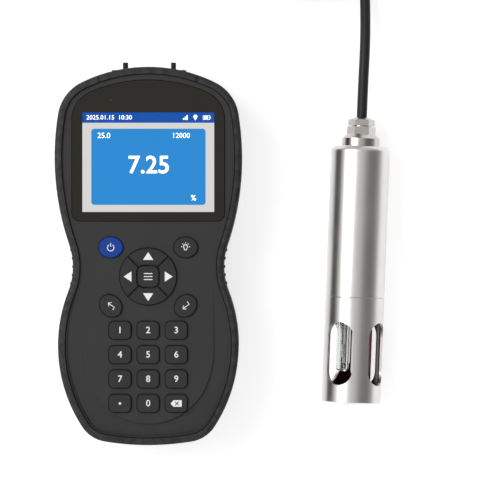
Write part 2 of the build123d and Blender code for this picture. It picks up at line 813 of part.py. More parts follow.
# Dust caps: a disc with a shallow plug behind, a finger tab in front and a hinge lug below
for cap_name, cap_x in (("port_cap_left", -socket_x), ("port_cap_right", socket_x)):
    with BuildPart() as port_cap:
        with BuildSketch(port_plane(plate_face_y)):
            with Locations((cap_x, 0)):
                Circle(cap_r)
        extrude(amount=cap_t)
        with BuildSketch(port_plane(cap_back_y)):
            with Locations((cap_x, 0)):
                Circle(cap_plug_r)
                Circle(cap_plug_bore_r, mode=Mode.SUBTRACT)
        extrude(amount=cap_plug_t)
        with BuildSketch(port_plane(plate_face_y + tab_rise)):
            with Locations((cap_x, 0)):
                SlotOverall(tab_h, tab_w, rotation=90)
        extrude(amount=tab_rise)
        lug_start = (cap_x - lug_w / 2, hinge_y, hinge_z)
        with BuildSketch(Plane(origin=lug_start, x_dir=(0, 1, 0), z_dir=(1, 0, 0))):
            Circle(lug_r)
            with Locations((0, (cap_fit + lug_below + lug_r) / 2)):
                Rectangle(cap_t, cap_fit + lug_below + lug_r)
        extrude(amount=lug_w)
    port_cap.part.label = cap_name
    export_step(port_cap.part, "parts/" + cap_name + ".step")

# The probe's own plane: its local x runs across the probe and its local y along it, from the open end up
lean_x = sin(radians(probe_lean))
lean_y = cos(radians(probe_lean))
probe_plane = Plane(origin=(*probe_tip, probe_r), x_dir=(lean_y, -lean_x, 0), z_dir=(0, 0, 1))
probe_axis = Axis(probe_plane.origin, probe_plane.y_dir)
seam = guard_length
body_top = guard_length + body_length
spigot_r = probe_r - guard_wall - spigot_fit
head_face = seam - spigot_length - head_face_t
collar_end = body_top + collar_length
gland_end = collar_end + gland_length
nut_end = gland_end + nut_length


def profile(plane, points):
    """A closed outline on a plane, with x as the radius and y along the axis."""
    with BuildSketch(plane) as face:
        with BuildLine():
            Polyline(*points, close=True)
        make_face()
    return face.sketch


def cross_plane(along):
    """A plane across the probe at that distance from its open end, which faces the cable."""
    place = probe_plane.origin + probe_plane.y_dir * along
    return Plane(origin=place, x_dir=-probe_plane.x_dir, z_dir=probe_plane.y_dir)


def rod_spot(spot):
    """A place given across the probe, to its right and up, on a cross plane."""
    return (-spot[0], spot[1])


with BuildPart() as probe_body:
    with BuildSketch(probe_plane) as body_face:
        with BuildLine():
            Polyline(
                (spigot_r - spigot_wall, seam - spigot_length),
                (spigot_r, seam - spigot_length),
                (spigot_r, seam),
                (probe_r - seam_groove, seam),
                (probe_r, seam + seam_groove),
                (probe_r, body_top),
                (wire_hole_r, body_top),
                (wire_hole_r, body_top - body_end_t),
                (probe_r - body_wall, body_top - body_end_t),
                (probe_r - body_wall, seam + body_wall),
                (spigot_r - spigot_wall, seam + body_wall),
                close=True,
            )
        make_face()
        fillet(body_face.vertices().sort_by_distance((probe_r, body_top, 0))[0], body_round)
    revolve(axis=probe_axis)
    for step in range(2):
        groove_at = seam - spigot_length / 2 + (step - 0.5) * ring_pitch
        groove_points = [
            (spigot_r - 2 * ring_r, groove_at - ring_r),
            (probe_r, groove_at - ring_r),
            (probe_r, groove_at + ring_r),
            (spigot_r - 2 * ring_r, groove_at + ring_r),
        ]
        revolve(profile(probe_plane, groove_points), axis=probe_axis, mode=Mode.SUBTRACT)
probe_body.part.label = "probe_body"
export_step(probe_body.part, "parts/probe_body.step")

with BuildPart() as seal_rings:
    with BuildSketch(probe_plane):
        for step in range(2):
            groove_at = seam - spigot_length / 2 + (step - 0.5) * ring_pitch
            with Locations((probe_r - guard_wall - ring_fit - ring_r, groove_at)):
                Circle(ring_r)
    revolve(axis=probe_axis)
seal_rings.part.label = "seal_rings"
export_step(seal_rings.part, "parts/seal_rings.step")

# Guard: a tube with four long windows round the electrodes
with BuildPart() as sensor_guard:
    guard_points = [
        (probe_r - guard_wall, 0),
        (probe_r, 0),
        (probe_r, seam - seam_groove),
        (probe_r - seam_groove, seam),
        (probe_r - guard_wall, seam),
    ]
    revolve(profile(probe_plane, guard_points), axis=probe_axis)
    chamfer(sensor_guard.edges().filter_by(GeomType.CIRCLE).sort_by(probe_axis)[:2], seam_groove)
    for step in range(slot_count):
        slot_at = radians(slot_turn + step * 360 / slot_count)
        slot_out = probe_plane.x_dir * sin(slot_at) + probe_plane.z_dir * cos(slot_at)
        slot_middle = probe_plane.origin + probe_plane.y_dir * (seam - slot_start - slot_length / 2)
        with BuildSketch(Plane(origin=slot_middle, x_dir=probe_plane.y_dir, z_dir=slot_out)):
            SlotOverall(slot_length, slot_w)
        extrude(amount=2 * probe_r, mode=Mode.SUBTRACT)
sensor_guard.part.label = "sensor_guard"
export_step(sensor_guard.part, "parts/sensor_guard.step")

# Collar and cable gland
with BuildPart() as cable_collar:
    collar_points = [
        (wire_hole_r, body_top),
        (collar_r, body_top),
        (collar_r, body_top + collar_straight),
        (collar_top_r, collar_end),
        (wire_hole_r, collar_end),
    ]
    revolve(profile(probe_plane, collar_points), axis=probe_axis)
cable_collar.part.label = "cable_collar"
export_step(cable_collar.part, "parts/cable_collar.step")

hex_to_corner = 1 / sqrt(3)
with BuildPart() as gland_body:
    with BuildSketch(cross_plane(collar_end)):
        RegularPolygon(gland_flats * hex_to_corner, 6)
    extrude(amount=gland_length - gland_groove)
    with BuildSketch(cross_plane(gland_end - gland_groove)):
        Circle(gland_core_r)
    extrude(amount=gland_groove)
    with BuildSketch(cross_plane(collar_end)):
        Circle(wire_hole_r)
    extrude(amount=gland_length, mode=Mode.SUBTRACT)
gland_body.part.label = "gland_body"
export_step(gland_body.part, "parts/gland_body.step")

with BuildPart() as gland_nut:
    with BuildSketch(cross_plane(gland_end)):
        RegularPolygon(nut_flats * hex_to_corner, 6)
    extrude(amount=nut_length)
    cone_points = [
        (0, gland_end),
        (nut_flats, gland_end),
        (nut_flats * hex_to_corner, gland_end + nut_straight),
        (nut_top_r, nut_end),
        (0, nut_end),
    ]
    revolve(profile(probe_plane, cone_points), axis=probe_axis, mode=Mode.INTERSECT)
    with BuildSketch(cross_plane(gland_end)):
        Circle(cable_d / 2 + nut_bore_fit)
    extrude(amount=nut_length, mode=Mode.SUBTRACT)
gland_nut.part.label = "gland_nut"
export_step(gland_nut.part, "parts/gland_nut.step")

with BuildPart() as gland_seal:
    with BuildSketch(cross_plane(gland_end)):
        Circle(cable_d / 2)
    extrude(amount=seal_t)
gland_seal.part.label = "gland_seal"
export_step(gland_seal.part, "parts/gland_seal.step")

# Sensor head, and the rods that stand in the guard
with BuildPart() as sensor_head:
    head_points = [
        (0, head_face),
        (spigot_r, head_face),
        (spigot_r, head_face + head_face_t),
        (head_plug_r, head_face + head_face_t),
        (head_plug_r, head_face + head_face_t + head_plug_length),
        (0, head_face + head_face_t + head_plug_length),
    ]
    revolve(profile(probe_plane, head_points), axis=probe_axis)
sensor_head.part.label = "sensor_head"
export_step(sensor_head.part, "parts/sensor_head.step")

with BuildPart() as glass_electrode:
    glass_end = head_face - glass_length
    with BuildSketch(cross_plane(head_face)):
        with Locations(rod_spot(glass_spot)):
            Circle(glass_r)
    extrude(amount=-glass_length)
    fillet(glass_electrode.edges().sort_by(probe_axis)[0], glass_r - glass_wall)
    with BuildSketch(cross_plane(head_face)):
        with Locations(rod_spot(glass_spot)):
            Circle(glass_r - glass_wall)
    extrude(amount=2 * glass_wall - glass_length, mode=Mode.SUBTRACT)
glass_electrode.part.label = "glass_electrode"
export_step(glass_electrode.part, "parts/glass_electrode.step")

with BuildPart() as electrode_wire:
    with BuildSketch(cross_plane(head_face)):
        with Locations(rod_spot(glass_spot)):
            Circle(wire_r)
    extrude(amount=-wire_length)
    with BuildSketch(cross_plane(head_face - wire_length)):
        with Locations(rod_spot(glass_spot)):
            Circle(wire_coil_r)
    extrude(amount=wire_coil_length)
electrode_wire.part.label = "electrode_wire"
export_step(electrode_wire.part, "parts/electrode_wire.step")

with BuildPart() as measuring_cell:
    with BuildSketch(cross_plane(head_face)):
        with Locations(rod_spot(cell_spot)):
            Circle(cell_r)
    extrude(amount=-cell_length)
    fillet(measuring_cell.edges().sort_by(probe_axis)[0], cell_round)
measuring_cell.part.label = "measuring_cell"
export_step(measuring_cell.part, "parts/measuring_cell.step")

with BuildPart() as temperature_sensor:
    with BuildSketch(cross_plane(head_face)):
        with Locations(rod_spot(thermo_spot)):
            Circle(thermo_r)
    extrude(amount=-thermo_length)
    fillet(temperature_sensor.edges().sort_by(probe_axis)[0], thermo_round)
temperature_sensor.part.label = "temperature_sensor"
export_step(temperature_sensor.part, "parts/temperature_sensor.step")

board_start = head_face + head_face_t + head_plug_length
with BuildPart() as probe_board:
    with BuildSketch(cross_plane(board_start)):
        Rectangle(probe_board_w, probe_board_t)
    extrude(amount=probe_board_length)
probe_board.part.label = "probe_board"
export_step(probe_board.part, "parts/probe_board.step")

# Cable: straight runs joined by arcs as large as the runs allow
coil_low_z = coil_lift + turn_pitch / 2
coil_high_z = coil_low_z + (coil_layers - 1) * turn_pitch
outer_turn_r = coil_mean_r + (coil_columns - 1) / 2 * turn_pitch
cable_start = probe_plane.origin + probe_plane.y_dir * (gland_end + seal_t)
lead_end = cable_start + probe_plane.y_dir * lead_straight
lead_route = [
    (cable_start.X, cable_start.Y, cable_start.Z),
    (lead_end.X, lead_end.Y, lead_end.Z),
    *lead_bends,
    (coil_centre[0] + outer_turn_r, coil_centre[1] - lead_joins, coil_low_z),
]
tail_route = [
    (coil_centre[0], coil_centre[1] + outer_turn_r, coil_high_z),
    *tail_bends,
    plug_start,
]


def cable_tube(points):
    """A round tube of straight runs and tangent arcs; prints its radii and its volume."""
    spots = [Vector(*p) for p in points]
    radii = []
    for before, here, after in zip(spots, spots[1:], spots[2:]):
        turn = (here - before).get_angle(after - here)
        shorter = min((here - before).length, (after - here).length)
        radii.append(bend_share * shorter / tan(radians(turn / 2)))
    with BuildPart() as tube:
        with BuildLine():
            path = FilletPolyline(*spots, radius=radii)
        with BuildSketch(Plane(origin=path @ 0, z_dir=path % 0)):
            Circle(cable_d / 2)
        sweep(path=path)
    section = pi * cable_d**2 / 4
    print("cable arc radii", [round(r, 1) for r in radii], "length", round(path.length, 1))
    print("cable volume", round(tube.part.volume, 1), "section by length", round(section * path.length, 1))
    return tube


cable_lead = cable_tube(lead_route)
cable_lead.part.label = "cable_lead"
export_step(cable_lead.part, "parts/cable_lead.step")

cable_tail = cable_tube(tail_route)
cable_tail.part.label = "cable_tail"
export_step(cable_tail.part, "parts/cable_tail.step")

# Coil: one closed ring of the turns' outer shape, and the tie round it
coil_w = coil_columns * turn_pitch
coil_h = coil_layers * turn_pitch
coil_axis = Axis((*coil_centre, 0), (0, 0, 1))
with BuildPart() as cable_coil:
    with BuildSketch(Plane(origin=(*coil_centre, coil_lift), x_dir=(1, 0, 0), z_dir=(0, -1, 0))):
        with Locations((coil_mean_r, coil_h / 2)):
            RectangleRounded(coil_w, coil_h, coil_round)
    revolve(axis=coil_axis)
cable_coil.part.label = "cable_coil"
export_step(cable_coil.part, "parts/cable_coil.step")

with BuildPart() as coil_tie:
    tie_dir = (cos(radians(tie_angle)), sin(radians(tie_angle)), 0)
    tie_face = (tie_dir[1], -tie_dir[0], 0)
    with BuildSketch(Plane(origin=(*coil_centre, coil_lift), x_dir=tie_dir, z_dir=tie_face)):
        with Locations((coil_mean_r, coil_h / 2)):
            tie_in = tie_fit
            tie_out = tie_fit + tie_t
            RectangleRounded(coil_w + 2 * tie_out, coil_h + 2 * tie_out, coil_round + tie_out)
            inner_round = coil_round + tie_in
            RectangleRounded(coil_w + 2 * tie_in, coil_h + 2 * tie_in, inner_round, mode=Mode.SUBTRACT)
    revolve(axis=coil_axis, revolution_arc=tie_sweep)
coil_tie.part.label = "coil_tie"
export_step(coil_tie.part, "parts/coil_tie.step")

# Plug: strain relief and body, a coupling ring that turns, and the contact insert
plug_spot = Vector(*tail_route[-1])
plug_run = plug_spot - Vector(*tail_route[-2])
plug_dir = Vector(plug_run.X, plug_run.Y, 0).normalized()
plug_plane = Plane(origin=plug_spot, x_dir=(plug_dir.Y, -plug_dir.X, 0), z_dir=(0, 0, 1))
plug_axis = Axis(plug_plane.origin, plug_plane.y_dir)
back_end = plug_boot_length + plug_body_length
ring_start = back_end + ring_gap
ring_end = ring_start + ring_length
core_end = ring_end + ring_gap
nose_end = core_end + nose_length
with BuildPart() as plug_body:
    plug_points = [
        (0, 0),
        (plug_boot_r, 0),
        (plug_back_r, plug_boot_length),
        (plug_body_r, plug_boot_length),
        (plug_body_r, back_end),
        (plug_core_r, back_end),
        (plug_core_r, core_end),
        (0, core_end),
    ]
    revolve(profile(plug_plane, plug_points), axis=plug_axis)
plug_body.part.label = "plug_body"
export_step(plug_body.part, "parts/plug_body.step")

with BuildPart() as plug_ring:
    ring_points = [
        (plug_core_r + ring_gap, ring_start),
        (ring_outer_r, ring_start),
        (ring_outer_r, ring_end),
        (plug_core_r + ring_gap, ring_end),
    ]
    revolve(profile(plug_plane, ring_points), axis=plug_axis)
    chamfer(plug_ring.edges().filter_by(GeomType.CIRCLE).sort_by(SortBy.RADIUS)[-2:], ring_gap)
plug_ring.part.label = "plug_ring"
export_step(plug_ring.part, "parts/plug_ring.step")

with BuildPart() as plug_contacts:
    nose_points = [
        (0, core_end),
        (nose_r, core_end),
        (nose_r, nose_end),
        (nose_r - nose_wall, nose_end),
        (nose_r - nose_wall, nose_end - contact_length),
        (0, nose_end - contact_length),
    ]
    revolve(profile(plug_plane, nose_points), axis=plug_axis)
    pin_place = plug_plane.origin + plug_plane.y_dir * (nose_end - contact_length)
    with BuildSketch(Plane(origin=pin_place, x_dir=plug_plane.x_dir, z_dir=plug_plane.y_dir)):
        with PolarLocations(contact_circle_r, contact_count):
            Circle(contact_r)
    extrude(amount=contact_length - nose_wall)
plug_contacts.part.label = "plug_contacts"
export_step(plug_contacts.part, "parts/plug_contacts.step")
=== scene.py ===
"""A portable water quality meter with an immersion probe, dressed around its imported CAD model.

The handset lies on its back with the screen up. The probe lies beside it, and its cable is put away in
a coil that ends in a plug.
"""

import logging
import math
from dataclasses import dataclass, field
from enum import Enum

import bmesh
import bpy
from mathutils import Matrix, Vector

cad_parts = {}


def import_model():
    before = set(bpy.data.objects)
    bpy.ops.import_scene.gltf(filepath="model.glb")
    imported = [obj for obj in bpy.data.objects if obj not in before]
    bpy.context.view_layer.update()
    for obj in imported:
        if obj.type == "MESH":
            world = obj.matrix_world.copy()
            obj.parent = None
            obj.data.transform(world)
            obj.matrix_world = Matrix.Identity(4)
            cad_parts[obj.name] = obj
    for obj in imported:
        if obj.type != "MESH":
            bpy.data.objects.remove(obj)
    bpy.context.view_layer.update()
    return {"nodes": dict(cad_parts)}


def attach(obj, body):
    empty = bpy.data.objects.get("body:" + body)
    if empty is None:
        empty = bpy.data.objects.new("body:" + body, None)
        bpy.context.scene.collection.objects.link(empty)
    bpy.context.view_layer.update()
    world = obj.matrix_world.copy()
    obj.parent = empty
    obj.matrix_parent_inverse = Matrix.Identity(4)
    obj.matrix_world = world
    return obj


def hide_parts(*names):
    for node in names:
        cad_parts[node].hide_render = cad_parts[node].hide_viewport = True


LOG = logging.getLogger("water_meter")
MM = 0.001
Point = tuple[float, float, float]
Flat = tuple[float, float]


def linear(hexadecimal: str) -> tuple[float, float, float, float]:
    """A colour written as six hexadecimal digits, as the linear colour that a shader takes."""
    parts = [int(hexadecimal[i : i + 2], 16) / 255 for i in (0, 2, 4)]
    return (*[p / 12.92 if p <= 0.04045 else ((p + 0.055) / 1.055) ** 2.4 for p in parts], 1.0)


def scaled(colour: tuple[float, float, float, float], factor: float) -> tuple[float, float, float, float]:
    """The same colour, lighter or darker by that factor."""
    return (*[min(1.0, c * factor) for c in colour[:3]], 1.0)


class Value:
    """A number that a material works out at each point of a surface, with Python's operators."""

    def __init__(self, maker: "Maker", socket: bpy.types.NodeSocket) -> None:
        """Wraps one output socket of the maker's node tree."""
        self.maker = maker
        self.socket = socket

    def _math(self, operation: str, *others: "Value | float", swapped: bool = False) -> "Value":
        """Adds a Math node.

        Args:
            operation: the Math node's operation.
            others: the other operands.
            swapped: True where this value is the second operand.

        Returns:
            The node's result.
        """
        operands = [self, *others]
        if swapped:
            operands.reverse()
        made = self.maker.node("ShaderNodeMath", {"operation": operation}, dict(enumerate(operands)))
        return Value(self.maker, made.outputs[0])

    def __add__(self, other: "Value | float") -> "Value":
        """This plus the other."""
        return self._math("ADD", other)

    __radd__ = __add__

    def __mul__(self, other: "Value | float") -> "Value":
        """This times the other."""
        return self._math("MULTIPLY", other)

    __rmul__ = __mul__

    def __sub__(self, other: "Value | float") -> "Value":
        """This less the other."""
        return self._math("SUBTRACT", other)

    def __rsub__(self, other: "Value | float") -> "Value":
        """The other less this."""
        return self._math("SUBTRACT", other, swapped=True)

    def __abs__(self) -> "Value":
        """The size of this, without its sign."""
        return self._math("ABSOLUTE")

    def sine(self) -> "Value":
        """The sine of this."""
        return self._math("SINE")

    def larger(self, other: "Value | float") -> "Value":
        """The larger of the two."""
        return self._math("MAXIMUM", other)

    def root(self) -> "Value":
        """The square root of this."""
        return self._math("SQRT")

    def ramp(self, low: float, high: float, start: float = 0.0, end: float = 1.0) -> "Value":
        """A smooth step.

        Args:
            low: the value at which the step starts.
            high: the value at which it ends.
            start: the result before the step.
            end: the result after it.

        Returns:
            The stepped value, held between start and end.
        """
        made = self.maker.node(
            "ShaderNodeMapRange",
            {"interpolation_type": "SMOOTHSTEP", "clamp": True},
            {"Value": self, "From Min": low, "From Max": high, "To Min": start, "To Max": end},
        )
        return Value(self.maker, made.outputs["Result"])


class Maker:
    """One material in the making: its node tree, and the one method that adds nodes to it."""

    def __init__(self, name: str) -> None:
        """Starts an empty material of that name."""
        self.material = bpy.data.materials.new(name)
        self.material.use_nodes = True
        self.tree = self.material.node_tree
        self.tree.nodes.clear()
        self._place: bpy.types.Node | None = None

    def node(
        self,
        kind: str,
        settings: dict[str, object] | None = None,
        inputs: dict[object, object] | None = None,
    ) -> bpy.types.Node:
        """Adds one node.

        Args:
            kind: the node's type.
            settings: its properties, which are set first.
            inputs: the number, colour, vector or link of each of its sockets, by name or index.

        Returns:
            The node.
        """
        made = self.tree.nodes.new(kind)
        for name, value in (settings or {}).items():
            setattr(made, name, value)
        for name, value in (inputs or {}).items():
            if isinstance(value, Value):
                value = value.socket
            if isinstance(value, bpy.types.NodeSocket):
                self.tree.links.new(value, made.inputs[name])
            else:
                made.inputs[name].default_value = value
        return made

    def place(self) -> bpy.types.NodeSocket:
        """The point on the surface in the row frame, in metres."""
        if self._place is None:
            self._place = self.node("ShaderNodeTexCoord")
        return self._place.outputs["Object"]

    def axes(self, vector: bpy.types.NodeSocket | None = None) -> tuple[Value, Value, Value]:
        """The three parts of a vector, or of the point on the surface."""
        parts = self.node("ShaderNodeSeparateXYZ", None, {0: vector or self.place()})
        return tuple(Value(self, parts.outputs[i]) for i in range(3))

    def mapped(self, turn: Point, scale: Point) -> bpy.types.NodeSocket:
        """The point on the surface turned and stretched by a Mapping node."""
        sockets = {"Vector": self.place(), "Rotation": turn, "Scale": scale}
        return self.node("ShaderNodeMapping", None, sockets).outputs["Vector"]

    def noise(self, scale: float, detail: float = 3.0, vector: bpy.types.NodeSocket | None = None) -> Value:
        """Cloudy noise from 0 to 1, with that many features in a metre."""
        made = self.node(
            "ShaderNodeTexNoise", None, {"Vector": vector or self.place(), "Scale": scale, "Detail": detail}
        )
        return Value(self, made.outputs["Fac"])

    def cells(self, scale: float, vector: bpy.types.NodeSocket | None = None) -> Value:
        """The distance to the middle of the nearest cell, as for a pebbled surface."""
        made = self.node("ShaderNodeTexVoronoi", None, {"Vector": vector or self.place(), "Scale": scale})
        return Value(self, made.outputs["Distance"])

    def mix(self, factor: Value | float, first: object, second: object) -> bpy.types.NodeSocket:
        """A colour between two colours."""
        made = self.node("ShaderNodeMix", {"data_type": "RGBA"}, {0: factor, 6: first, 7: second})
        return made.outputs[2]

    def bump(self, height: Value, distance: float) -> bpy.types.NodeSocket:
        """A normal that follows a height, whose full range is that many metres."""
        sockets = {"Height": height, "Distance": distance}
        return self.node("ShaderNodeBump", None, sockets).outputs["Normal"]

    def surface(self, **inputs: object) -> bpy.types.NodeSocket:
        """A Principled shader.

        Args:
            inputs: its sockets, with an underscore for each space in their names.

        Returns:
            The shader's output.
        """
        sockets = {name.replace("_", " "): value for name, value in inputs.items()}
        return self.node("ShaderNodeBsdfPrincipled", None, sockets).outputs[0]

    def finish(self, shader: bpy.types.NodeSocket) -> bpy.types.Material:
        """Ends the material with that shader."""
        self.node("ShaderNodeOutputMaterial", None, {"Surface": shader})
        return self.material


@dataclass(frozen=True)
class Moulded:
    """Rubber or plastic from a textured mould: fine grain, faint clouding and a little polish from hands."""

    name: str
    colour: str
    roughness: float = 0.55
    grain: float = 2600.0
    grain_depth: float = 0.00003
    clouding: float = 0.10
    polish: float = 0.08
    specular: float = 0.22

    def material(self) -> bpy.types.Material:
        """The finish as a material."""
        maker = Maker(self.name)
        base = linear(self.colour)
        clouds = maker.noise(38.0, 4.0)
        speck = maker.noise(self.grain * 0.6, 2.0)
        tone = (clouds * 0.7 + speck * 0.3).ramp(0.3, 0.7)
        pebble = maker.cells(self.grain).ramp(0.0, 0.7) * 0.6 + maker.noise(self.grain * 1.7, 2.0) * 0.4
        rubbed = maker.noise(90.0, 5.0).ramp(0.45, 0.75)
        darker = scaled(base, 1 - self.clouding)
        lighter = scaled(base, 1 + self.clouding)
        return maker.finish(
            maker.surface(
                Base_Color=maker.mix(tone, darker, lighter),
                Roughness=self.roughness + speck * 0.06 - rubbed * self.polish,
                Specular_IOR_Level=self.specular,
                Normal=maker.bump(pebble, self.grain_depth),
            )
        )


@dataclass(frozen=True)
class Ribbed:
    """The boot's rubber: pebbled, with a painted highlight on its front rim, which is also a little polished
    by wear.
    """

    name: str = "boot rubber"
    colour: str = "262626"
    # the colour of the painted highlight on the front rim
    rim: str = "3A3A39"
    rim_highlight_and_wear_from: float = 0.0402
    rim_highlight_and_wear_to: float = 0.0419

    def material(self) -> bpy.types.Material:
        """The finish as a material."""
        maker = Maker(self.name)
        # painted highlight: the top of the front rim is painted lighter where the light falls on it; the
        # same mask also lowers the roughness for real polish from wear
        worn = maker.axes()[2].ramp(self.rim_highlight_and_wear_from, self.rim_highlight_and_wear_to) * maker.noise(260.0, 5.0).ramp(0.30, 0.72)
        pebble = maker.cells(1500.0).ramp(0.0, 0.8) * 0.7 + maker.noise(5200.0, 2.0) * 0.3
        clouds = maker.noise(30.0, 4.0).ramp(0.3, 0.7)
        plain = maker.mix(clouds, scaled(linear(self.colour), 0.92), scaled(linear(self.colour), 1.1))
        return maker.finish(
            maker.surface(
                Base_Color=maker.mix(worn * 0.8, plain, linear(self.rim)),
                Roughness=0.58 - worn * 0.12 + clouds * 0.05,
                Specular_IOR_Level=0.22,
                Normal=maker.bump(pebble, 0.00004),
            )
        )


@dataclass(frozen=True)
class Metal:
    """Turned or plated metal with fine tool lines round its axis.

    The lines are drawn round the probe's axis, which lies flat and leans by that many degrees. A tube with a
    bore radius gets painted shade inside it, tinted by a painted reflection of the red cell that stands in
    the tube.
    """

    name: str
    colour: str
    roughness: float = 0.3
    lean: float = 2.2
    lines: float = 5200.0
    line_depth: float = 0.000004
    stain: float = 0.06
    bore_r: float = 0.0
    # the colour of the painted shade and painted red reflection inside the bore
    bore_shade_colour: str = "3B1D1F"
    axis_spot: Point = (0.1093, -0.0794, 0.016)

    def material(self) -> bpy.types.Material:
        """The finish as a material."""
        maker = Maker(self.name)
        turned = maker.mapped(turn=(0, 0, math.radians(self.lean)), scale=(0.02, 1.0, 0.02))
        lines = maker.noise(self.lines, 3.0, turned)
        fine = maker.noise(self.lines * 2.3, 2.0, turned)
        smear = maker.noise(55.0, 5.0).ramp(0.35, 0.7)
        base = linear(self.colour)
        shade = maker.mix(smear * self.stain + lines * 0.05, base, scaled(base, 0.72))
        if self.bore_r:
            x, y, z = maker.axes()
            turn = math.radians(self.lean)
            across = (x - self.axis_spot[0]) * math.cos(turn) - (y - self.axis_spot[1]) * math.sin(turn)
            up = z - self.axis_spot[2]
            # painted shade inside the tube's bore, tinted by a painted reflection of the red measuring cell
            # that stands in it
            inside = (across * across + up * up).root().ramp(self.bore_r, self.bore_r + 0.0004, 1.0, 0.0)
            shade = maker.mix(inside, shade, linear(self.bore_shade_colour))
        return maker.finish(
            maker.surface(
                Base_Color=shade,
                Metallic=1.0,
                Roughness=self.roughness + smear * 0.05 + (fine - 0.5) * 0.08,
                Normal=maker.bump(lines * 0.6 + fine * 0.4, self.line_depth),
            )
        )


@dataclass(frozen=True)
class Glass:
    """Blown laboratory glass with a faint tint and slight waviness."""

    name: str
    colour: str = "F4F7F6"
    roughness: float = 0.02

    def material(self) -> bpy.types.Material:
        """The finish as a material."""
        maker = Maker(self.name)
        wave = maker.noise(180.0, 2.0)
        return maker.finish(
            maker.surface(
                Base_Color=maker.mix(wave, scaled(linear(self.colour), 0.97), linear(self.colour)),
                Roughness=self.roughness + wave * 0.02,
                IOR=1.47,
                Transmission_Weight=1.0,
                Normal=maker.bump(wave, 0.00005),
            )
        )


@dataclass(frozen=True)
class Lens:
    """The display window: a dark printed border, and clear where the screen is."""

    name: str = "window glass"
    colour: str = "211F1A"
    half_w: float = 0.0353
    low_y: float = 0.02355
    high_y: float = 0.07695
    edge: float = 0.00003

    def material(self) -> bpy.types.Material:
        """The finish as a material."""
        maker = Maker(self.name)
        x, y = maker.axes()[:2]
        inside_x = abs(x).ramp(self.half_w - self.edge, self.half_w + self.edge, 1.0, 0.0)
        above = y.ramp(self.low_y - self.edge, self.low_y + self.edge)
        below = y.ramp(self.high_y - self.edge, self.high_y + self.edge, 1.0, 0.0)
        clear = inside_x * (above * below)
        smear = maker.noise(45.0, 5.0).ramp(0.4, 0.75)
        dust = maker.noise(3800.0, 1.0).ramp(0.70, 0.80)
        printed = maker.surface(
            Base_Color=maker.mix(dust * 0.25, linear(self.colour), linear("6A6662")),
            Roughness=0.07 + smear * 0.06 + dust * 0.15,
            Specular_IOR_Level=0.3,
        )
        see_through = maker.node("ShaderNodeBsdfTransparent").outputs[0]
        pane = maker.node("ShaderNodeMixShader", None, {0: 0.985, 1: printed, 2: see_through}).outputs[0]
        whole = maker.node("ShaderNodeMixShader", None, {0: clear, 1: printed, 2: pane}).outputs[0]
        return maker.finish(whole)


@dataclass(frozen=True)
class Screen:
    """The lit screen: a dark blue bar, a pale field and a blue card with round corners, in fine dots."""

    name: str = "screen picture"
    bar: str = "0053B4"
    pale: str = "E2E1DF"
    card: str = "2590DE"
    module: str = "8C8F92"
    bar_low: float = 0.0713
    card_middle: Flat = (0.00008, 0.04775)
    card_half: Flat = (0.0306, 0.0204)
    card_round: float = 0.0016
    face_z: float = 0.0392
    edge: float = 0.00004
    bar_edge: float = 0.00003
    dots: float = 26000.0

    def material(self) -> bpy.types.Material:
        """The finish as a material."""
        maker = Maker(self.name)
        x, y, z = maker.axes()
        away_x = (abs(x - self.card_middle[0]) - (self.card_half[0] - self.card_round)).larger(0.0)
        away_y = (abs(y - self.card_middle[1]) - (self.card_half[1] - self.card_round)).larger(0.0)
        away = (away_x * away_x + away_y * away_y).root() - self.card_round
        card = away.ramp(-self.edge, self.edge, 1.0, 0.0)
        bar = y.ramp(self.bar_low - self.bar_edge, self.bar_low + self.bar_edge)
        dots = (x * self.dots).sine() * (y * self.dots).sine()
        picture = maker.mix(card, linear(self.pale), linear(self.card))
        picture = maker.mix(bar, picture, linear(self.bar))
        shaded = maker.mix(dots.ramp(-0.6, 1.0) * 0.05, picture, (0, 0, 0, 1))
        lit = z.ramp(self.face_z, self.face_z + 0.0001)
        base = maker.mix(lit, linear(self.module), (0.01, 0.01, 0.01, 1))
        return maker.finish(
            maker.surface(
                Base_Color=base,
                Roughness=0.35 - lit * 0.1,
                Emission_Color=maker.mix(lit, (0, 0, 0, 1), shaded),
                Emission_Strength=0.93,
                Specular_IOR_Level=0.12,
            )
        )


@dataclass(frozen=True)
class Ink:
    """Printed ink or a lit sign: even, with a slightly uneven edge of tone."""

    name: str
    colour: str
    glow: float = 0.0
    roughness: float = 0.5

    def material(self) -> bpy.types.Material:
        """The finish as a material."""
        maker = Maker(self.name)
        base = linear(self.colour)
        worn = maker.noise(900.0, 3.0).ramp(0.3, 0.8)
        tone = maker.mix(worn * 0.12, base, scaled(base, 0.8))
        return maker.finish(
            maker.surface(
                Base_Color=tone,
                Roughness=self.roughness + worn * 0.1,
                Emission_Color=tone,
                Emission_Strength=self.glow,
            )
        )


@dataclass(frozen=True)
class Weave:
    """Hook-and-loop webbing: crossing threads with a soft, broken sheen."""

    name: str
    colour: str
    threads: float = 1500.0

    def material(self) -> bpy.types.Material:
        """The finish as a material."""
        maker = Maker(self.name)
        x, y, z = maker.axes()
        warp = ((x + y) * (self.threads * math.pi)).sine()
        weft = (z * (self.threads * math.pi * 1.3)).sine()
        cross = (warp * weft).ramp(-0.9, 0.9)
        fuzz = maker.noise(2400.0, 3.0)
        base = linear(self.colour)
        return maker.finish(
            maker.surface(
                Base_Color=maker.mix(cross * 0.7 + fuzz * 0.3, scaled(base, 0.55), scaled(base, 1.35)),
                Roughness=0.8 + fuzz * 0.1,
                Sheen_Weight=0.3,
                Normal=maker.bump(cross * 0.7 + fuzz * 0.3, 0.0002),
            )
        )


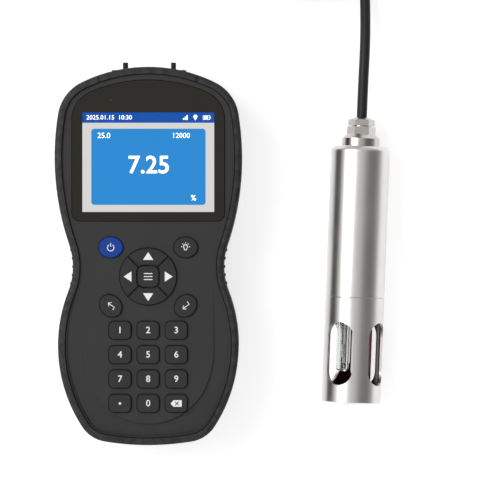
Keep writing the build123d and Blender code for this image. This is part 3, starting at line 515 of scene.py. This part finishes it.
@dataclass(frozen=True)
class Board:
    """A circuit board: green resist with copper tracks and pads."""

    name: str = "circuit board"

    def material(self) -> bpy.types.Material:
        """The finish as a material."""
        maker = Maker(self.name)
        x = maker.axes()[0]
        tracks = ((x * 2600.0).sine() * 1.4 + maker.noise(60.0, 1.0) * 2.0).ramp(1.9, 2.1)
        pads = maker.cells(420.0).ramp(0.16, 0.2, 1.0, 0.0)
        green = maker.mix(tracks, linear("0E5A35"), linear("1B7A4A"))
        return maker.finish(
            maker.surface(
                Base_Color=maker.mix(pads, green, linear("C9A24A")),
                Metallic=pads * 0.9,
                Roughness=0.42 - pads * 0.12,
                Normal=maker.bump(tracks + pads, 0.00003),
            )
        )


class Finishes:
    """All the finishes, made once each."""

    def __init__(self) -> None:
        """Makes every material."""
        self.boot = Ribbed().material()
        self.shell = Moulded("shell plastic", "323232", 0.52, 2400.0, 0.00003, 0.06, 0.05).material()
        self.key = Moulded("key rubber", "2D2D2D", 0.5, 3200.0, 0.00002, 0.07, 0.06).material()
        self.power = Moulded("power key", "0A3A8E", 0.4, 3200.0, 0.00002, 0.08, 0.05).material()
        self.cap = Moulded("cap rubber", "262626", 0.55, 2600.0, 0.00003, 0.08, 0.08).material()
        self.seal = Moulded("seal rubber", "1B1B1B", 0.45, 1800.0, 0.00002).material()
        self.silicone = Moulded("mat silicone", "8E9194", 0.55, 1600.0, 0.00002).material()
        self.port = Moulded("port plate plastic", "2B2B2B", 0.5, 2200.0, 0.00003).material()
        self.insert = Moulded("insert plastic", "1F1F20", 0.45, 1800.0, 0.00001).material()
        self.head = Moulded("head plastic", "4A1A1E", 0.42, 1500.0, 0.00001, 0.05, 0.05).material()
        self.cell = Moulded("cell red", "6B0F19", 0.22, 900.0, 0.000006, 0.18, 0.05, 0.6).material()
        self.wrap = Moulded("battery wrap", "1E4F8E", 0.3, 700.0, 0.00003).material()
        self.jacket = Moulded("cable jacket", "262627", 0.42, 1500.0, 0.00002, 0.08, 0.06).material()
        self.plug = Moulded("plug plastic", "2A2A2B", 0.45, 1900.0, 0.00003).material()
        self.steel = Metal("probe steel", "DEDCDA", 0.30).material()
        # the guard's bore gets painted shade and a painted red reflection inside it
        self.guard = Metal("guard steel", "DEDCDA", 0.30, bore_r=0.0145).material()
        self.gland = Metal("gland metal", "C6C3BF", 0.24, lines=3800.0).material()
        self.plated = Metal("plated metal", "C9C7C2", 0.22, lines=3000.0, line_depth=0.000003).material()
        self.gold = Metal("gold contact", "D9AE58", 0.2, lines=3000.0, line_depth=0.000002).material()
        self.silver = Metal("silver wire", "D8D6D2", 0.25, lines=2600.0).material()
        self.screw = Metal("screw steel", "9D9D9C", 0.32, lean=0.0, lines=2600.0).material()
        self.copper = Metal("dome metal", "C0BDB4", 0.28, lean=0.0, lines=2600.0).material()
        self.glass = Glass("electrode glass").material()
        self.lens = Lens().material()
        self.screen = Screen().material()
        self.board = Board().material()
        self.tie = Weave("tie fabric", "26282B").material()
        self.legend = Ink("white legend", "ECECEA", 0.0).material()
        self.sign = Ink("lit sign", "FFFFFF", 0.95).material()
        self.lamp = Ink("lamp dot", "5A1410", 0.0, 0.2).material()


class Level(Enum):
    """Heights on which flat signs lie, in metres."""

    KEY = 0.0420
    SCREEN = 0.03950
    WINDOW = 0.0410


def kept(name: str, mesh: bpy.types.Mesh, material: bpy.types.Material) -> bpy.types.Object:
    """An object of that mesh and material, at the origin, in the scene."""
    made = bpy.data.objects.new(name, mesh)
    mesh.materials.clear()
    mesh.materials.append(material)
    bpy.context.scene.collection.objects.link(made)
    return made


def from_curve(curve: bpy.types.Curve, matrix: Matrix) -> bpy.types.Mesh:
    """A curve or text made a mesh, with a matrix applied to it."""
    holder = bpy.data.objects.new("holder", curve)
    bpy.context.scene.collection.objects.link(holder)
    bpy.context.view_layer.update()
    mesh = bpy.data.meshes.new_from_object(holder.evaluated_get(bpy.context.evaluated_depsgraph_get()))
    bpy.data.objects.remove(holder)
    mesh.transform(matrix)
    return mesh


def joined(name: str, meshes: list[bpy.types.Mesh], material: bpy.types.Material) -> bpy.types.Object:
    """One object that holds several meshes."""
    built = bmesh.new()
    for mesh in meshes:
        built.from_mesh(mesh)
    whole = bpy.data.meshes.new(name)
    built.to_mesh(whole)
    built.free()
    return kept(name, whole, material)


def smooth(mesh: bpy.types.Mesh, angle: float = 35.0) -> None:
    """Shades a mesh smooth, with creases at edges sharper than that many degrees."""
    mesh.shade_smooth()
    mesh.set_sharp_from_angle(angle=math.radians(angle))


@dataclass
class Stamp:
    """A flat sign of thin strokes, filled outlines and numbers, in millimetres about its middle."""

    middle: Flat
    level: Level
    turn: float = 0.0
    thickness: float = 0.03
    lift: float = 0.0
    bold_from: float = 4.5
    meshes: list[bpy.types.Mesh] = field(default_factory=list)

    def _matrix(self, flat: float = 1.0) -> Matrix:
        """The matrix that puts a sign drawn in millimetres in its place."""
        height = self.level.value + self.lift * MM
        return (
            Matrix.Translation((self.middle[0] * MM, self.middle[1] * MM, height))
            @ Matrix.Rotation(math.radians(self.turn), 4, "Z")
            @ Matrix.Diagonal((MM, MM, MM * flat, 1.0))
        )

    def number(self, text: str, size: float, at: Flat = (0, 0), align: str = "CENTER") -> "Stamp":
        """Adds plain figures of that size, in the middle or to one side of a place."""
        curve = bpy.data.curves.new("figures", "FONT")
        curve.body = text
        curve.size = size
        curve.align_x = align
        curve.align_y = "CENTER"
        curve.extrude = self.thickness / 2
        curve.offset = size * 0.012 if size > self.bold_from else 0.0
        curve.resolution_u = 3
        self.meshes.append(from_curve(curve, self._matrix() @ Matrix.Translation((*at, 0))))
        return self

    def stroke(self, points: list[Flat], width: float, closed: bool = False) -> "Stamp":
        """Adds a line of that width through the points."""
        curve = bpy.data.curves.new("stroke", "CURVE")
        curve.dimensions = "3D"
        spline = curve.splines.new("POLY")
        spline.points.add(len(points) - 1)
        for spot, (x, y) in zip(spline.points, points):
            spot.co = (x, y, 0, 1)
        spline.use_cyclic_u = closed
        curve.bevel_depth = width / 2
        curve.bevel_resolution = 1
        curve.use_fill_caps = True
        self.meshes.append(from_curve(curve, self._matrix(self.thickness / width)))
        return self

    def filled(self, points: list[Flat]) -> "Stamp":
        """Adds a filled outline."""
        curve = bpy.data.curves.new("outline", "CURVE")
        curve.dimensions = "2D"
        curve.fill_mode = "BOTH"
        spline = curve.splines.new("POLY")
        spline.points.add(len(points) - 1)
        for spot, (x, y) in zip(spline.points, points):
            spot.co = (x, y, 0, 1)
        spline.use_cyclic_u = True
        curve.extrude = self.thickness / 2
        self.meshes.append(from_curve(curve, self._matrix()))
        return self

    def made(self, name: str, material: bpy.types.Material, body: str) -> bpy.types.Object:
        """The sign as one piece that rides on that body."""
        sign = joined(name, self.meshes, material)
        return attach(sign, body)


def arc(radius: float, start: float, end: float, middle: Flat = (0, 0), steps: int = 20) -> list[Flat]:
    """Points on an arc, with its angles in degrees."""
    angles = [math.radians(start + (end - start) * i / steps) for i in range(steps + 1)]
    return [(middle[0] + radius * math.cos(a), middle[1] + radius * math.sin(a)) for a in angles]


@dataclass
class Cable:
    """The probe's cable: a lead, a coil of fifteen and a quarter turns in four layers, and a tail."""

    diameter: float = 5.6
    pitch: float = 5.7
    columns: int = 4
    layers: int = 4
    mean_r: float = 28.0
    middle: Flat = (80.5, 182.0)
    lift: float = 1.3
    steps: int = 15
    shift_start: float = 190.0
    shift_end: float = 235.0
    lead: tuple[Point, ...] = (
        (115.1119, 71.8885, 16.0),
        (115.9372, 93.3727, 16.0),
        (117.2, 114.5, 14.0),
        (117.5, 132.5, 9.0),
        (117.2, 150.0, 5.3),
        (117.05, 168.0, 4.15),
    )
    tail: tuple[Point, ...] = (
        (80.5, 218.55, 21.25),
        (61.5, 217.6, 18.8),
        (43.0, 212.8, 13.4),
        (26.0, 205.0, 9.6),
        (10.0, 196.4, 8.2),
        (-5.0, 187.6, 7.1),
    )

    def stations(self) -> list[Flat]:
        """The radius and height of each turn, from the outermost below to the outermost on top."""
        radii = [self.mean_r + ((self.columns - 1) / 2 - i) * self.pitch for i in range(self.columns)]
        found: list[Flat] = []
        for layer in range(self.layers):
            height = self.lift + self.pitch * (layer + 0.5)
            order = radii if layer % 2 == 0 else radii[::-1]
            found += [(radius, height) for radius in order]
        return found

    def turns(self) -> list[Point]:
        """Control points of the coil, about fifteen to a turn.

        Returns:
            The points, drawn outwards a little because the spline cuts inside them.
        """
        stations = self.stations()
        step = 360.0 / self.steps
        outwards = 1 / (0.75 + 0.25 * math.cos(math.radians(step)))
        total = 360.0 * (len(stations) - 2) + 450.0
        points: list[Point] = []
        angle = step / 2
        while angle < total - step / 2:
            turn, within = divmod(angle, 360.0)
            passed = min(1.0, max(0.0, (within - self.shift_start) / (self.shift_end - self.shift_start)))
            passed = passed * passed * (3 - 2 * passed)
            here = stations[min(int(turn), len(stations) - 1)]
            then = stations[min(int(turn) + 1, len(stations) - 1)]
            radius = (here[0] + (then[0] - here[0]) * passed) * outwards
            height = here[1] + (then[1] - here[1]) * passed
            x = self.middle[0] + radius * math.cos(math.radians(angle))
            y = self.middle[1] + radius * math.sin(math.radians(angle))
            points.append((x, y, height))
            angle += step
        return points

    def build(self, finishes: Finishes) -> bpy.types.Object:
        """Args:
            finishes: the materials.

        Returns:
            The cord.
        """
        points = [*self.lead, *self.turns(), *self.tail]
        curve = bpy.data.curves.new("probe_cable", "CURVE")
        curve.dimensions = "3D"
        curve.resolution_u = 4
        spline = curve.splines.new("NURBS")
        spline.points.add(len(points) - 1)
        for spot, point in zip(spline.points, points):
            spot.co = (*[c * MM for c in point], 1.0)
        spline.order_u = 3
        spline.use_endpoint_u = True
        curve.bevel_depth = self.diameter / 2 * MM
        curve.bevel_resolution = 5
        curve.use_fill_caps = True
        curve.materials.append(finishes.jacket)
        cord = bpy.data.objects.new("probe_cable", curve)
        bpy.context.scene.collection.objects.link(cord)
        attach(cord, "probe")
        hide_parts("cable_lead", "cable_coil", "cable_tail")
        return cord


@dataclass
class Handset:
    """The meter's handset: the finishes of its shells, boot and inner parts, and its screen's signs."""

    finishes: Finishes
    nodes: dict[str, bpy.types.Object]
    window_dot: Flat = (-19.9, 83.4)
    window_dot_r: float = 0.55
    socket_x: float = 13.0
    socket_z: float = 21.0
    socket_floor_y: float = 90.7
    pin_r: float = 0.45
    pin_length: float = 4.4
    pin_sunk: float = 0.1
    pin_circle_r: float = 2.0
    reading_spot: Flat = (0.3, 48.4)
    reading_size: float = 13.2
    figures: tuple[tuple[str, float, Flat, str], ...] = (
        ("25.0", 4.1, (-27.3, 64.4), "LEFT"),
        ("12000", 3.9, (12.6, 64.4), "LEFT"),
        ("%", 4.3, (24.2, 31.0), "CENTER"),
        ("2025.01.15  10:30", 3.4, (-33.2, 74.1), "LEFT"),
    )
    bars_spot: Flat = (18.6, 72.9)
    bar_w: float = 0.6
    bar_pitch: float = 0.95
    bar_heights: tuple[float, ...] = (0.9, 1.7, 2.5)

    def dress(self) -> None:
        """Gives each CAD node of the handset its finish."""
        f = self.finishes
        plain = {
            "rubber_boot": f.boot,
            "front_shell": f.shell,
            "rear_shell": f.shell,
            "battery_door": f.shell,
            "shell_gasket": f.seal,
            "case_screws": f.screw,
            "door_screws": f.screw,
            "battery_pack": f.wrap,
            "display_window": f.lens,
            "lcd_module": f.screen,
            "keypad_mat": f.silicone,
            "dome_switches": f.copper,
            "main_board": f.board,
            "port_plate": f.port,
            "socket_shells": f.plated,
            "socket_inserts": f.insert,
            "port_cap_left": f.cap,
            "port_cap_right": f.cap,
        }
        for name, material in plain.items():
            wear(self.nodes[name], material)

    def signs(self) -> None:
        """Puts the reading, the small figures and the icons on the screen, and adds the window's lamp."""
        f = self.finishes
        white = {"thickness": 0.02, "lift": 0.02}
        reading = Stamp(self.reading_spot, Level.SCREEN, **white).number("7.25", self.reading_size)
        reading.made("screen_reading", f.sign, "handset")
        small = Stamp((0, 0), Level.SCREEN, **white)
        for text, size, spot, align in self.figures:
            small.number(text, size, spot, align)
        small.made("screen_figures", f.sign, "handset")
        icons = Stamp((0, 0), Level.SCREEN, **white)
        foot = self.bars_spot[1]
        for step, tall in enumerate(self.bar_heights):
            left = self.bars_spot[0] + step * self.bar_pitch
            right = left + self.bar_w
            icons.filled([(left, foot), (right, foot), (right, foot + tall), (left, foot + tall)])
        icons.filled([*arc(1.05, -20, 200, (25.2, 74.6)), (25.2, 72.6)])
        icons.stroke([(29.4, 73.1), (32.9, 73.1), (32.9, 75.1), (29.4, 75.1)], 0.32, closed=True)
        icons.filled([(29.9, 73.5), (32.0, 73.5), (32.0, 74.7), (29.9, 74.7)])
        icons.filled([(33.1, 73.7), (33.5, 73.7), (33.5, 74.5), (33.1, 74.5)])
        icons.made("screen_icons", f.sign, "handset")
        lamp = Stamp(self.window_dot, Level.WINDOW, thickness=0.02, lift=0.01)
        lamp.filled(arc(self.window_dot_r, 0, 342, steps=19))
        lamp.made("status_lamp", f.lamp, "handset")

    def pins(self) -> None:
        """Stands four gold pins on the floor of each socket."""
        meshes = []
        for side in (-1, 1):
            for turn in range(4):
                angle = math.radians(45 + 90 * turn)
                built = bmesh.new()
                bmesh.ops.create_cone(
                    built,
                    cap_ends=True,
                    segments=16,
                    radius1=self.pin_r * MM,
                    radius2=self.pin_r * MM,
                    depth=self.pin_length * MM,
                )
                bmesh.ops.bevel(
                    built,
                    geom=[e for e in built.edges if all(v.co.z > 0 for v in e.verts)],
                    offset=self.pin_r * 0.6 * MM,
                    affect="EDGES",
                    segments=3,
                    profile=0.5,
                    material=-1,
                )
                middle = (
                    (side * self.socket_x + self.pin_circle_r * math.cos(angle)) * MM,
                    (self.socket_floor_y + self.pin_length / 2 - self.pin_sunk) * MM,
                    (self.socket_z + self.pin_circle_r * math.sin(angle)) * MM,
                )
                upright = Matrix.Rotation(math.radians(-90), 4, "X")
                bmesh.ops.transform(built, verts=built.verts, matrix=Matrix.Translation(middle) @ upright)
                mesh = bpy.data.meshes.new("pin")
                built.to_mesh(mesh)
                built.free()
                meshes.append(mesh)
        pins = joined("socket_pins", meshes, self.finishes.gold)
        smooth(pins.data)
        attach(pins, "handset")

    def build(self) -> None:
        """Makes everything of the handset but its keys."""
        self.dress()
        self.signs()
        self.pins()
        LOG.info("handset: dressed, with its screen's signs and its socket pins")


def wear(node: bpy.types.Object, material: bpy.types.Material) -> None:
    """Gives a CAD node that finish in each of its material slots, or in a new one."""
    if not node.material_slots:
        node.data.materials.append(material)
    for place in node.material_slots:
        place.material = material


@dataclass
class Keypad:
    """The twenty-one keys and the signs printed on them, in millimetres."""

    finishes: Finishes
    nodes: dict[str, bpy.types.Object]
    oval_x: float = 20.0
    top_oval_y: float = 4.6
    low_oval_y: float = -26.7
    pad_y: float = -11.0
    arrow_out: float = 10.9
    pitch_x: float = 15.06
    pitch_y: float = 13.03
    block_top_y: float = -39.75
    figure: float = 4.9
    line: float = 0.5

    def dress(self) -> None:
        """Gives each key its finish."""
        for name, node in self.nodes.items():
            if name.startswith("key_"):
                wear(node, self.finishes.power if name == "key_power" else self.finishes.key)

    def spots(self) -> dict[str, tuple[Flat, float]]:
        """The middle and turn of each key's sign."""
        found: dict[str, tuple[Flat, float]] = {
            "key_power": ((-self.oval_x, self.top_oval_y), 0.0),
            "key_lamp": ((self.oval_x, self.top_oval_y), 0.0),
            "key_escape": ((-self.oval_x, self.low_oval_y), -35.0),
            "key_enter": ((self.oval_x, self.low_oval_y), 35.0),
            "key_up": ((0.0, self.pad_y + self.arrow_out), 0.0),
            "key_left": ((-self.arrow_out, self.pad_y), 90.0),
            "key_down": ((0.0, self.pad_y - self.arrow_out), 180.0),
            "key_right": ((self.arrow_out, self.pad_y), 270.0),
            "key_menu": ((0.0, self.pad_y), 0.0),
        }
        for i, name in enumerate(("1", "2", "3", "4", "5", "6", "7", "8", "9", "dot", "0", "delete")):
            x = (i % 3 - 1) * self.pitch_x
            found["key_" + name] = ((x, self.block_top_y - i // 3 * self.pitch_y), 0.0)
        return found

    def draw(self, name: str, sign: Stamp) -> Stamp:
        """Draws the sign of one key."""
        thin = self.line
        if name == "key_power":
            sign.stroke(arc(1.75, 125, 415, (0, -0.15)), thin).stroke([(0, 0.3), (0, 2.25)], thin)
        elif name == "key_lamp":
            sign.stroke([*arc(1.05, -55, 235, (0, 0.35))], thin * 1.05)
            sign.stroke([(-0.6, -0.5), (-0.6, -1.35), (0.6, -1.35), (0.6, -0.5)], thin * 1.05)
            for turn in (0, 45, 90, 135, 180):
                ray = [arc(r, turn, turn, (0, 0.35), 1)[0] for r in (1.75, 2.35)]
                sign.stroke(ray, thin * 1.05)
        elif name == "key_escape":
            sign.stroke([(2.1, -1.1), (2.1, 0.5), (-1.9, 0.5)], thin)
            sign.stroke([(-0.7, 1.7), (-2.0, 0.5), (-0.7, -0.7)], thin)
        elif name == "key_enter":
            sign.stroke([(2.1, 1.4), (2.1, -0.4), (-1.9, -0.4)], thin)
            sign.stroke([(-0.7, 0.8), (-2.0, -0.4), (-0.7, -1.6)], thin)
        elif name in ("key_up", "key_left", "key_down", "key_right"):
            sign.filled([(-2.75, -2.0), (2.75, -2.0), (0.0, 2.2)])
        elif name == "key_menu":
            for level in (-1.6, 0.0, 1.6):
                sign.stroke([(-2.3, level), (2.3, level)], thin * 1.15)
        elif name == "key_dot":
            sign.filled(arc(0.65, 0, 342, steps=19))
        elif name == "key_delete":
            sign.filled([(-3.1, 0.0), (-1.5, 1.75), (2.9, 1.75), (2.9, -1.75), (-1.5, -1.75)])
        else:
            sign.number(name[4:], self.figure)
        return sign

    def build(self) -> None:
        """Makes the signs of all keys, each riding on its key."""
        self.dress()
        for name, (middle, turn) in self.spots().items():
            sign = self.draw(name, Stamp(middle, Level.KEY, turn, lift=0.005))
            sign.made(name + "_sign", self.finishes.legend, name)
        cross = Stamp(self.spots()["key_delete"][0], Level.KEY, lift=0.035)
        cross.stroke([(-0.7, -1.0), (1.3, 1.0)], 0.45).stroke([(-0.7, 1.0), (1.3, -1.0)], 0.45)
        cross.made("key_delete_cross", self.finishes.key, "key_delete")
        LOG.info("keypad: %d keys and their signs", len(self.spots()))


@dataclass
class Probe:
    """The immersion probe: its metal, its sensor head and rods, and the plug at the end of its cable."""

    finishes: Finishes
    nodes: dict[str, bpy.types.Object]
    tip: Point = (109.3, -79.4, 16.0)
    lean: float = 2.2
    head_face: float = 44.5
    wire_spot: Flat = (-5.6, 3.4)
    wire_turns: int = 9
    wire_coil_r: float = 1.1
    wire_length: float = 20.0
    plug_start: Point = (-5.0, 187.6, 7.1)
    plug_heading: Flat = (-15.0, -8.8)
    knurl_start: float = 28.3
    knurl_end: float = 40.3
    knurl_r: float = 6.8
    knurl_count: int = 36
    ridge_r: float = 0.32
    ridge_sunk: float = 0.12
    ridge_short: float = 3.0

    def frame(self) -> Matrix:
        """The matrix from the probe's own axes in millimetres, x across and y along, to the row frame."""
        return (
            Matrix.Scale(MM, 4)
            @ Matrix.Translation(self.tip)
            @ Matrix.Rotation(math.radians(-self.lean), 4, "Z")
        )

    def dress(self) -> None:
        """Gives each CAD node of the probe and the plug its finish."""
        f = self.finishes
        plain = {
            "probe_body": f.steel,
            "sensor_guard": f.guard,
            "cable_collar": f.gland,
            "gland_body": f.gland,
            "gland_nut": f.gland,
            "gland_seal": f.seal,
            "seal_rings": f.seal,
            "sensor_head": f.head,
            "glass_electrode": f.glass,
            "electrode_wire": f.silver,
            "measuring_cell": f.cell,
            "temperature_sensor": f.steel,
            "probe_board": f.board,
            "coil_tie": f.tie,
            "plug_body": f.plug,
            "plug_ring": f.plated,
            "plug_contacts": f.gold,
        }
        for name, material in plain.items():
            wear(self.nodes[name], material)

    def wire(self) -> None:
        """Winds the electrode's silver wire: a straight run down the glass that ends in a close helix."""
        points = [(0.0, self.head_face, 0.0), (0.0, self.head_face - self.wire_length + 7.5, 0.0)]
        for i in range(self.wire_turns * 12):
            angle = math.radians(30 * i)
            along = self.head_face - self.wire_length + 7.0 - 7.0 * i / (self.wire_turns * 12)
            points.append((self.wire_coil_r * math.sin(angle), along, self.wire_coil_r * math.cos(angle)))
        curve = bpy.data.curves.new("electrode_helix", "CURVE")
        curve.dimensions = "3D"
        spline = curve.splines.new("POLY")
        spline.points.add(len(points) - 1)
        for spot, (x, y, z) in zip(spline.points, points):
            spot.co = (x + self.wire_spot[0], y, z + self.wire_spot[1], 1)
        curve.bevel_depth = 0.22
        curve.bevel_resolution = 2
        curve.use_fill_caps = True
        mesh = from_curve(curve, self.frame())
        helix = kept("electrode_helix", mesh, self.finishes.silver)
        smooth(mesh, 60)
        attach(helix, "probe")
        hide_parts("electrode_wire")

    def knurl(self) -> None:
        """Sets grip ridges round the plug's coupling ring."""
        heading = math.atan2(self.plug_heading[1], self.plug_heading[0])
        place = (
            Matrix.Scale(MM, 4)
            @ Matrix.Translation(self.plug_start)
            @ Matrix.Rotation(heading - math.pi / 2, 4, "Z")
        )
        out = self.knurl_r - self.ridge_sunk
        along = (self.knurl_start + self.knurl_end) / 2
        meshes = []
        for step in range(self.knurl_count):
            built = bmesh.new()
            bmesh.ops.create_cone(
                built,
                cap_ends=True,
                segments=6,
                radius1=self.ridge_r,
                radius2=self.ridge_r,
                depth=self.knurl_end - self.knurl_start - self.ridge_short,
            )
            bmesh.ops.transform(
                built,
                verts=built.verts,
                matrix=place
                @ Matrix.Rotation(2 * math.pi * step / self.knurl_count, 4, "Y")
                @ Matrix.Translation((out, along, 0))
                @ Matrix.Rotation(math.radians(90), 4, "X"),
            )
            mesh = bpy.data.meshes.new("ridge")
            built.to_mesh(mesh)
            built.free()
            meshes.append(mesh)
        ridges = joined("plug_ring_ridges", meshes, self.finishes.plated)
        smooth(ridges.data, 50)
        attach(ridges, "plug_ring")

    def build(self) -> None:
        """Makes everything of the probe but its cable."""
        self.dress()
        self.wire()
        self.knurl()
        LOG.info("probe: dressed, with its electrode's wire and its plug's ridges")


@dataclass
class Studio:
    """The camera straight above, a white table, and soft lamps."""

    middle: Flat = (54.45, 3.2)
    distance: float = 1500.0
    frame_w: float = 267.5
    face_z: float = 40.6
    floor_z: float = -0.25
    pale: float = 0.62
    dark: float = 0.16
    dark_side: Point = (0.77, 0.0, 0.64)
    dark_from: float = 0.72
    dark_to: float = 0.99
    table_glow: float = 0.70
    sensor_w: float = 36.0
    key_power: float = 27.0
    fill_power: float = 5.0

    def camera(self) -> None:
        """Hangs the camera over the point that the photograph is centred on."""
        data = bpy.data.cameras.new("camera")
        data.sensor_width = self.sensor_w
        data.lens = self.sensor_w * self.distance / self.frame_w
        data.clip_start = 0.05
        data.clip_end = 20.0
        camera = bpy.data.objects.new("camera", data)
        camera.location = (self.middle[0] * MM, self.middle[1] * MM, (self.face_z + self.distance) * MM)
        bpy.context.scene.collection.objects.link(camera)
        bpy.context.scene.camera = camera

    def seen(self, maker: Maker) -> Value:
        """One where a ray comes from the camera, a mirror or glass, and nought for light on the object."""
        path = maker.node("ShaderNodeLightPath")
        direct = Value(maker, path.outputs["Is Camera Ray"])
        mirrored = Value(maker, path.outputs["Is Glossy Ray"])
        through = Value(maker, path.outputs["Is Transmission Ray"])
        return direct.larger(mirrored).larger(through)

    def floor(self) -> None:
        """Lays a large white table that keeps the soft shadows."""
        maker = Maker("table")
        seen = self.seen(maker)
        mottle = maker.noise(3.0, 2.0)
        tone = maker.mix(mottle, (0.5, 0.5, 0.5, 1), (0.52, 0.52, 0.52, 1))
        matt = maker.node("ShaderNodeBsdfDiffuse", None, {"Color": tone}).outputs[0]
        light = {"Color": (1, 1, 1, 1), "Strength": seen * self.table_glow}
        glow = maker.node("ShaderNodeEmission", None, light).outputs[0]
        material = maker.finish(maker.node("ShaderNodeAddShader", None, {0: matt, 1: glow}).outputs[0])
        built = bmesh.new()
        bmesh.ops.create_grid(built, x_segments=2, y_segments=2, size=3.0)
        bmesh.ops.translate(built, verts=built.verts, vec=(0.05, 0.0, self.floor_z * MM))
        mesh = bpy.data.meshes.new("table")
        built.to_mesh(mesh)
        built.free()
        kept("table", mesh, material)

    def world(self) -> None:
        """Gives the room a pale light with one darker side, which the camera itself sees as white."""
        world = bpy.data.worlds.new("room")
        bpy.context.scene.world = world
        world.use_nodes = True
        tree = world.node_tree
        tree.nodes.clear()
        place = tree.nodes.new("ShaderNodeTexCoord")
        aside = tree.nodes.new("ShaderNodeVectorMath")
        aside.operation = "DOT_PRODUCT"
        aside.inputs[1].default_value = self.dark_side
        shade = tree.nodes.new("ShaderNodeMapRange")
        shade.interpolation_type = "SMOOTHSTEP"
        shade.inputs["From Min"].default_value = self.dark_from
        shade.inputs["From Max"].default_value = self.dark_to
        shade.inputs["To Min"].default_value = self.pale
        shade.inputs["To Max"].default_value = self.dark
        path = tree.nodes.new("ShaderNodeLightPath")
        seen = tree.nodes.new("ShaderNodeMix")
        seen.inputs[3].default_value = 1.0
        back = tree.nodes.new("ShaderNodeBackground")
        back.inputs["Color"].default_value = (1, 1, 1, 1)
        out = tree.nodes.new("ShaderNodeOutputWorld")
        tree.links.new(place.outputs["Generated"], aside.inputs[0])
        tree.links.new(aside.outputs["Value"], shade.inputs["Value"])
        tree.links.new(shade.outputs["Result"], seen.inputs[2])
        tree.links.new(path.outputs["Is Camera Ray"], seen.inputs[0])
        tree.links.new(seen.outputs[0], back.inputs["Strength"])
        tree.links.new(back.outputs[0], out.inputs[0])

    def lamp(self, name: str, at: Point, aim: Point, size: Flat, power: float) -> None:
        """Hangs one soft lamp.

        Args:
            name: what the lamp is called.
            at: its place, in metres.
            aim: the point that it looks at.
            size: its width and height, in metres.
            power: its power, in watts.
        """
        data = bpy.data.lights.new(name, "AREA")
        data.shape = "RECTANGLE"
        data.size, data.size_y = size
        data.energy = power
        lamp = bpy.data.objects.new(name, data)
        lamp.location = at
        lamp.rotation_euler = (Vector(aim) - Vector(at)).to_track_quat("-Z", "Y").to_euler()
        bpy.context.scene.collection.objects.link(lamp)

    def build(self) -> None:
        """Makes the camera, the table, the room's light and the lamps."""
        self.camera()
        self.floor()
        self.world()
        self.lamp("key_lamp", (-1.25, 0.55, 1.7), (0.03, 0.0, 0.0), (1.3, 1.3), self.key_power)
        self.lamp("fill_lamp", (0.1, -1.6, 1.5), (0.05, 0.0, 0.0), (1.2, 0.8), self.fill_power)
        bpy.context.scene.view_settings.view_transform = "Standard"
        LOG.info("studio: camera %.0f mm above the face", self.distance)


def main() -> None:
    """Loads the frame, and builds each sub-assembly."""
    logging.basicConfig(level=logging.INFO, format="%(name)s: %(message)s")
    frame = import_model()
    finishes = Finishes()
    Studio().build()
    Cable().build(finishes)
    Handset(finishes, frame["nodes"]).build()
    Keypad(finishes, frame["nodes"]).build()
    Probe(finishes, frame["nodes"]).build()


if __name__ == "__main__":
    main()
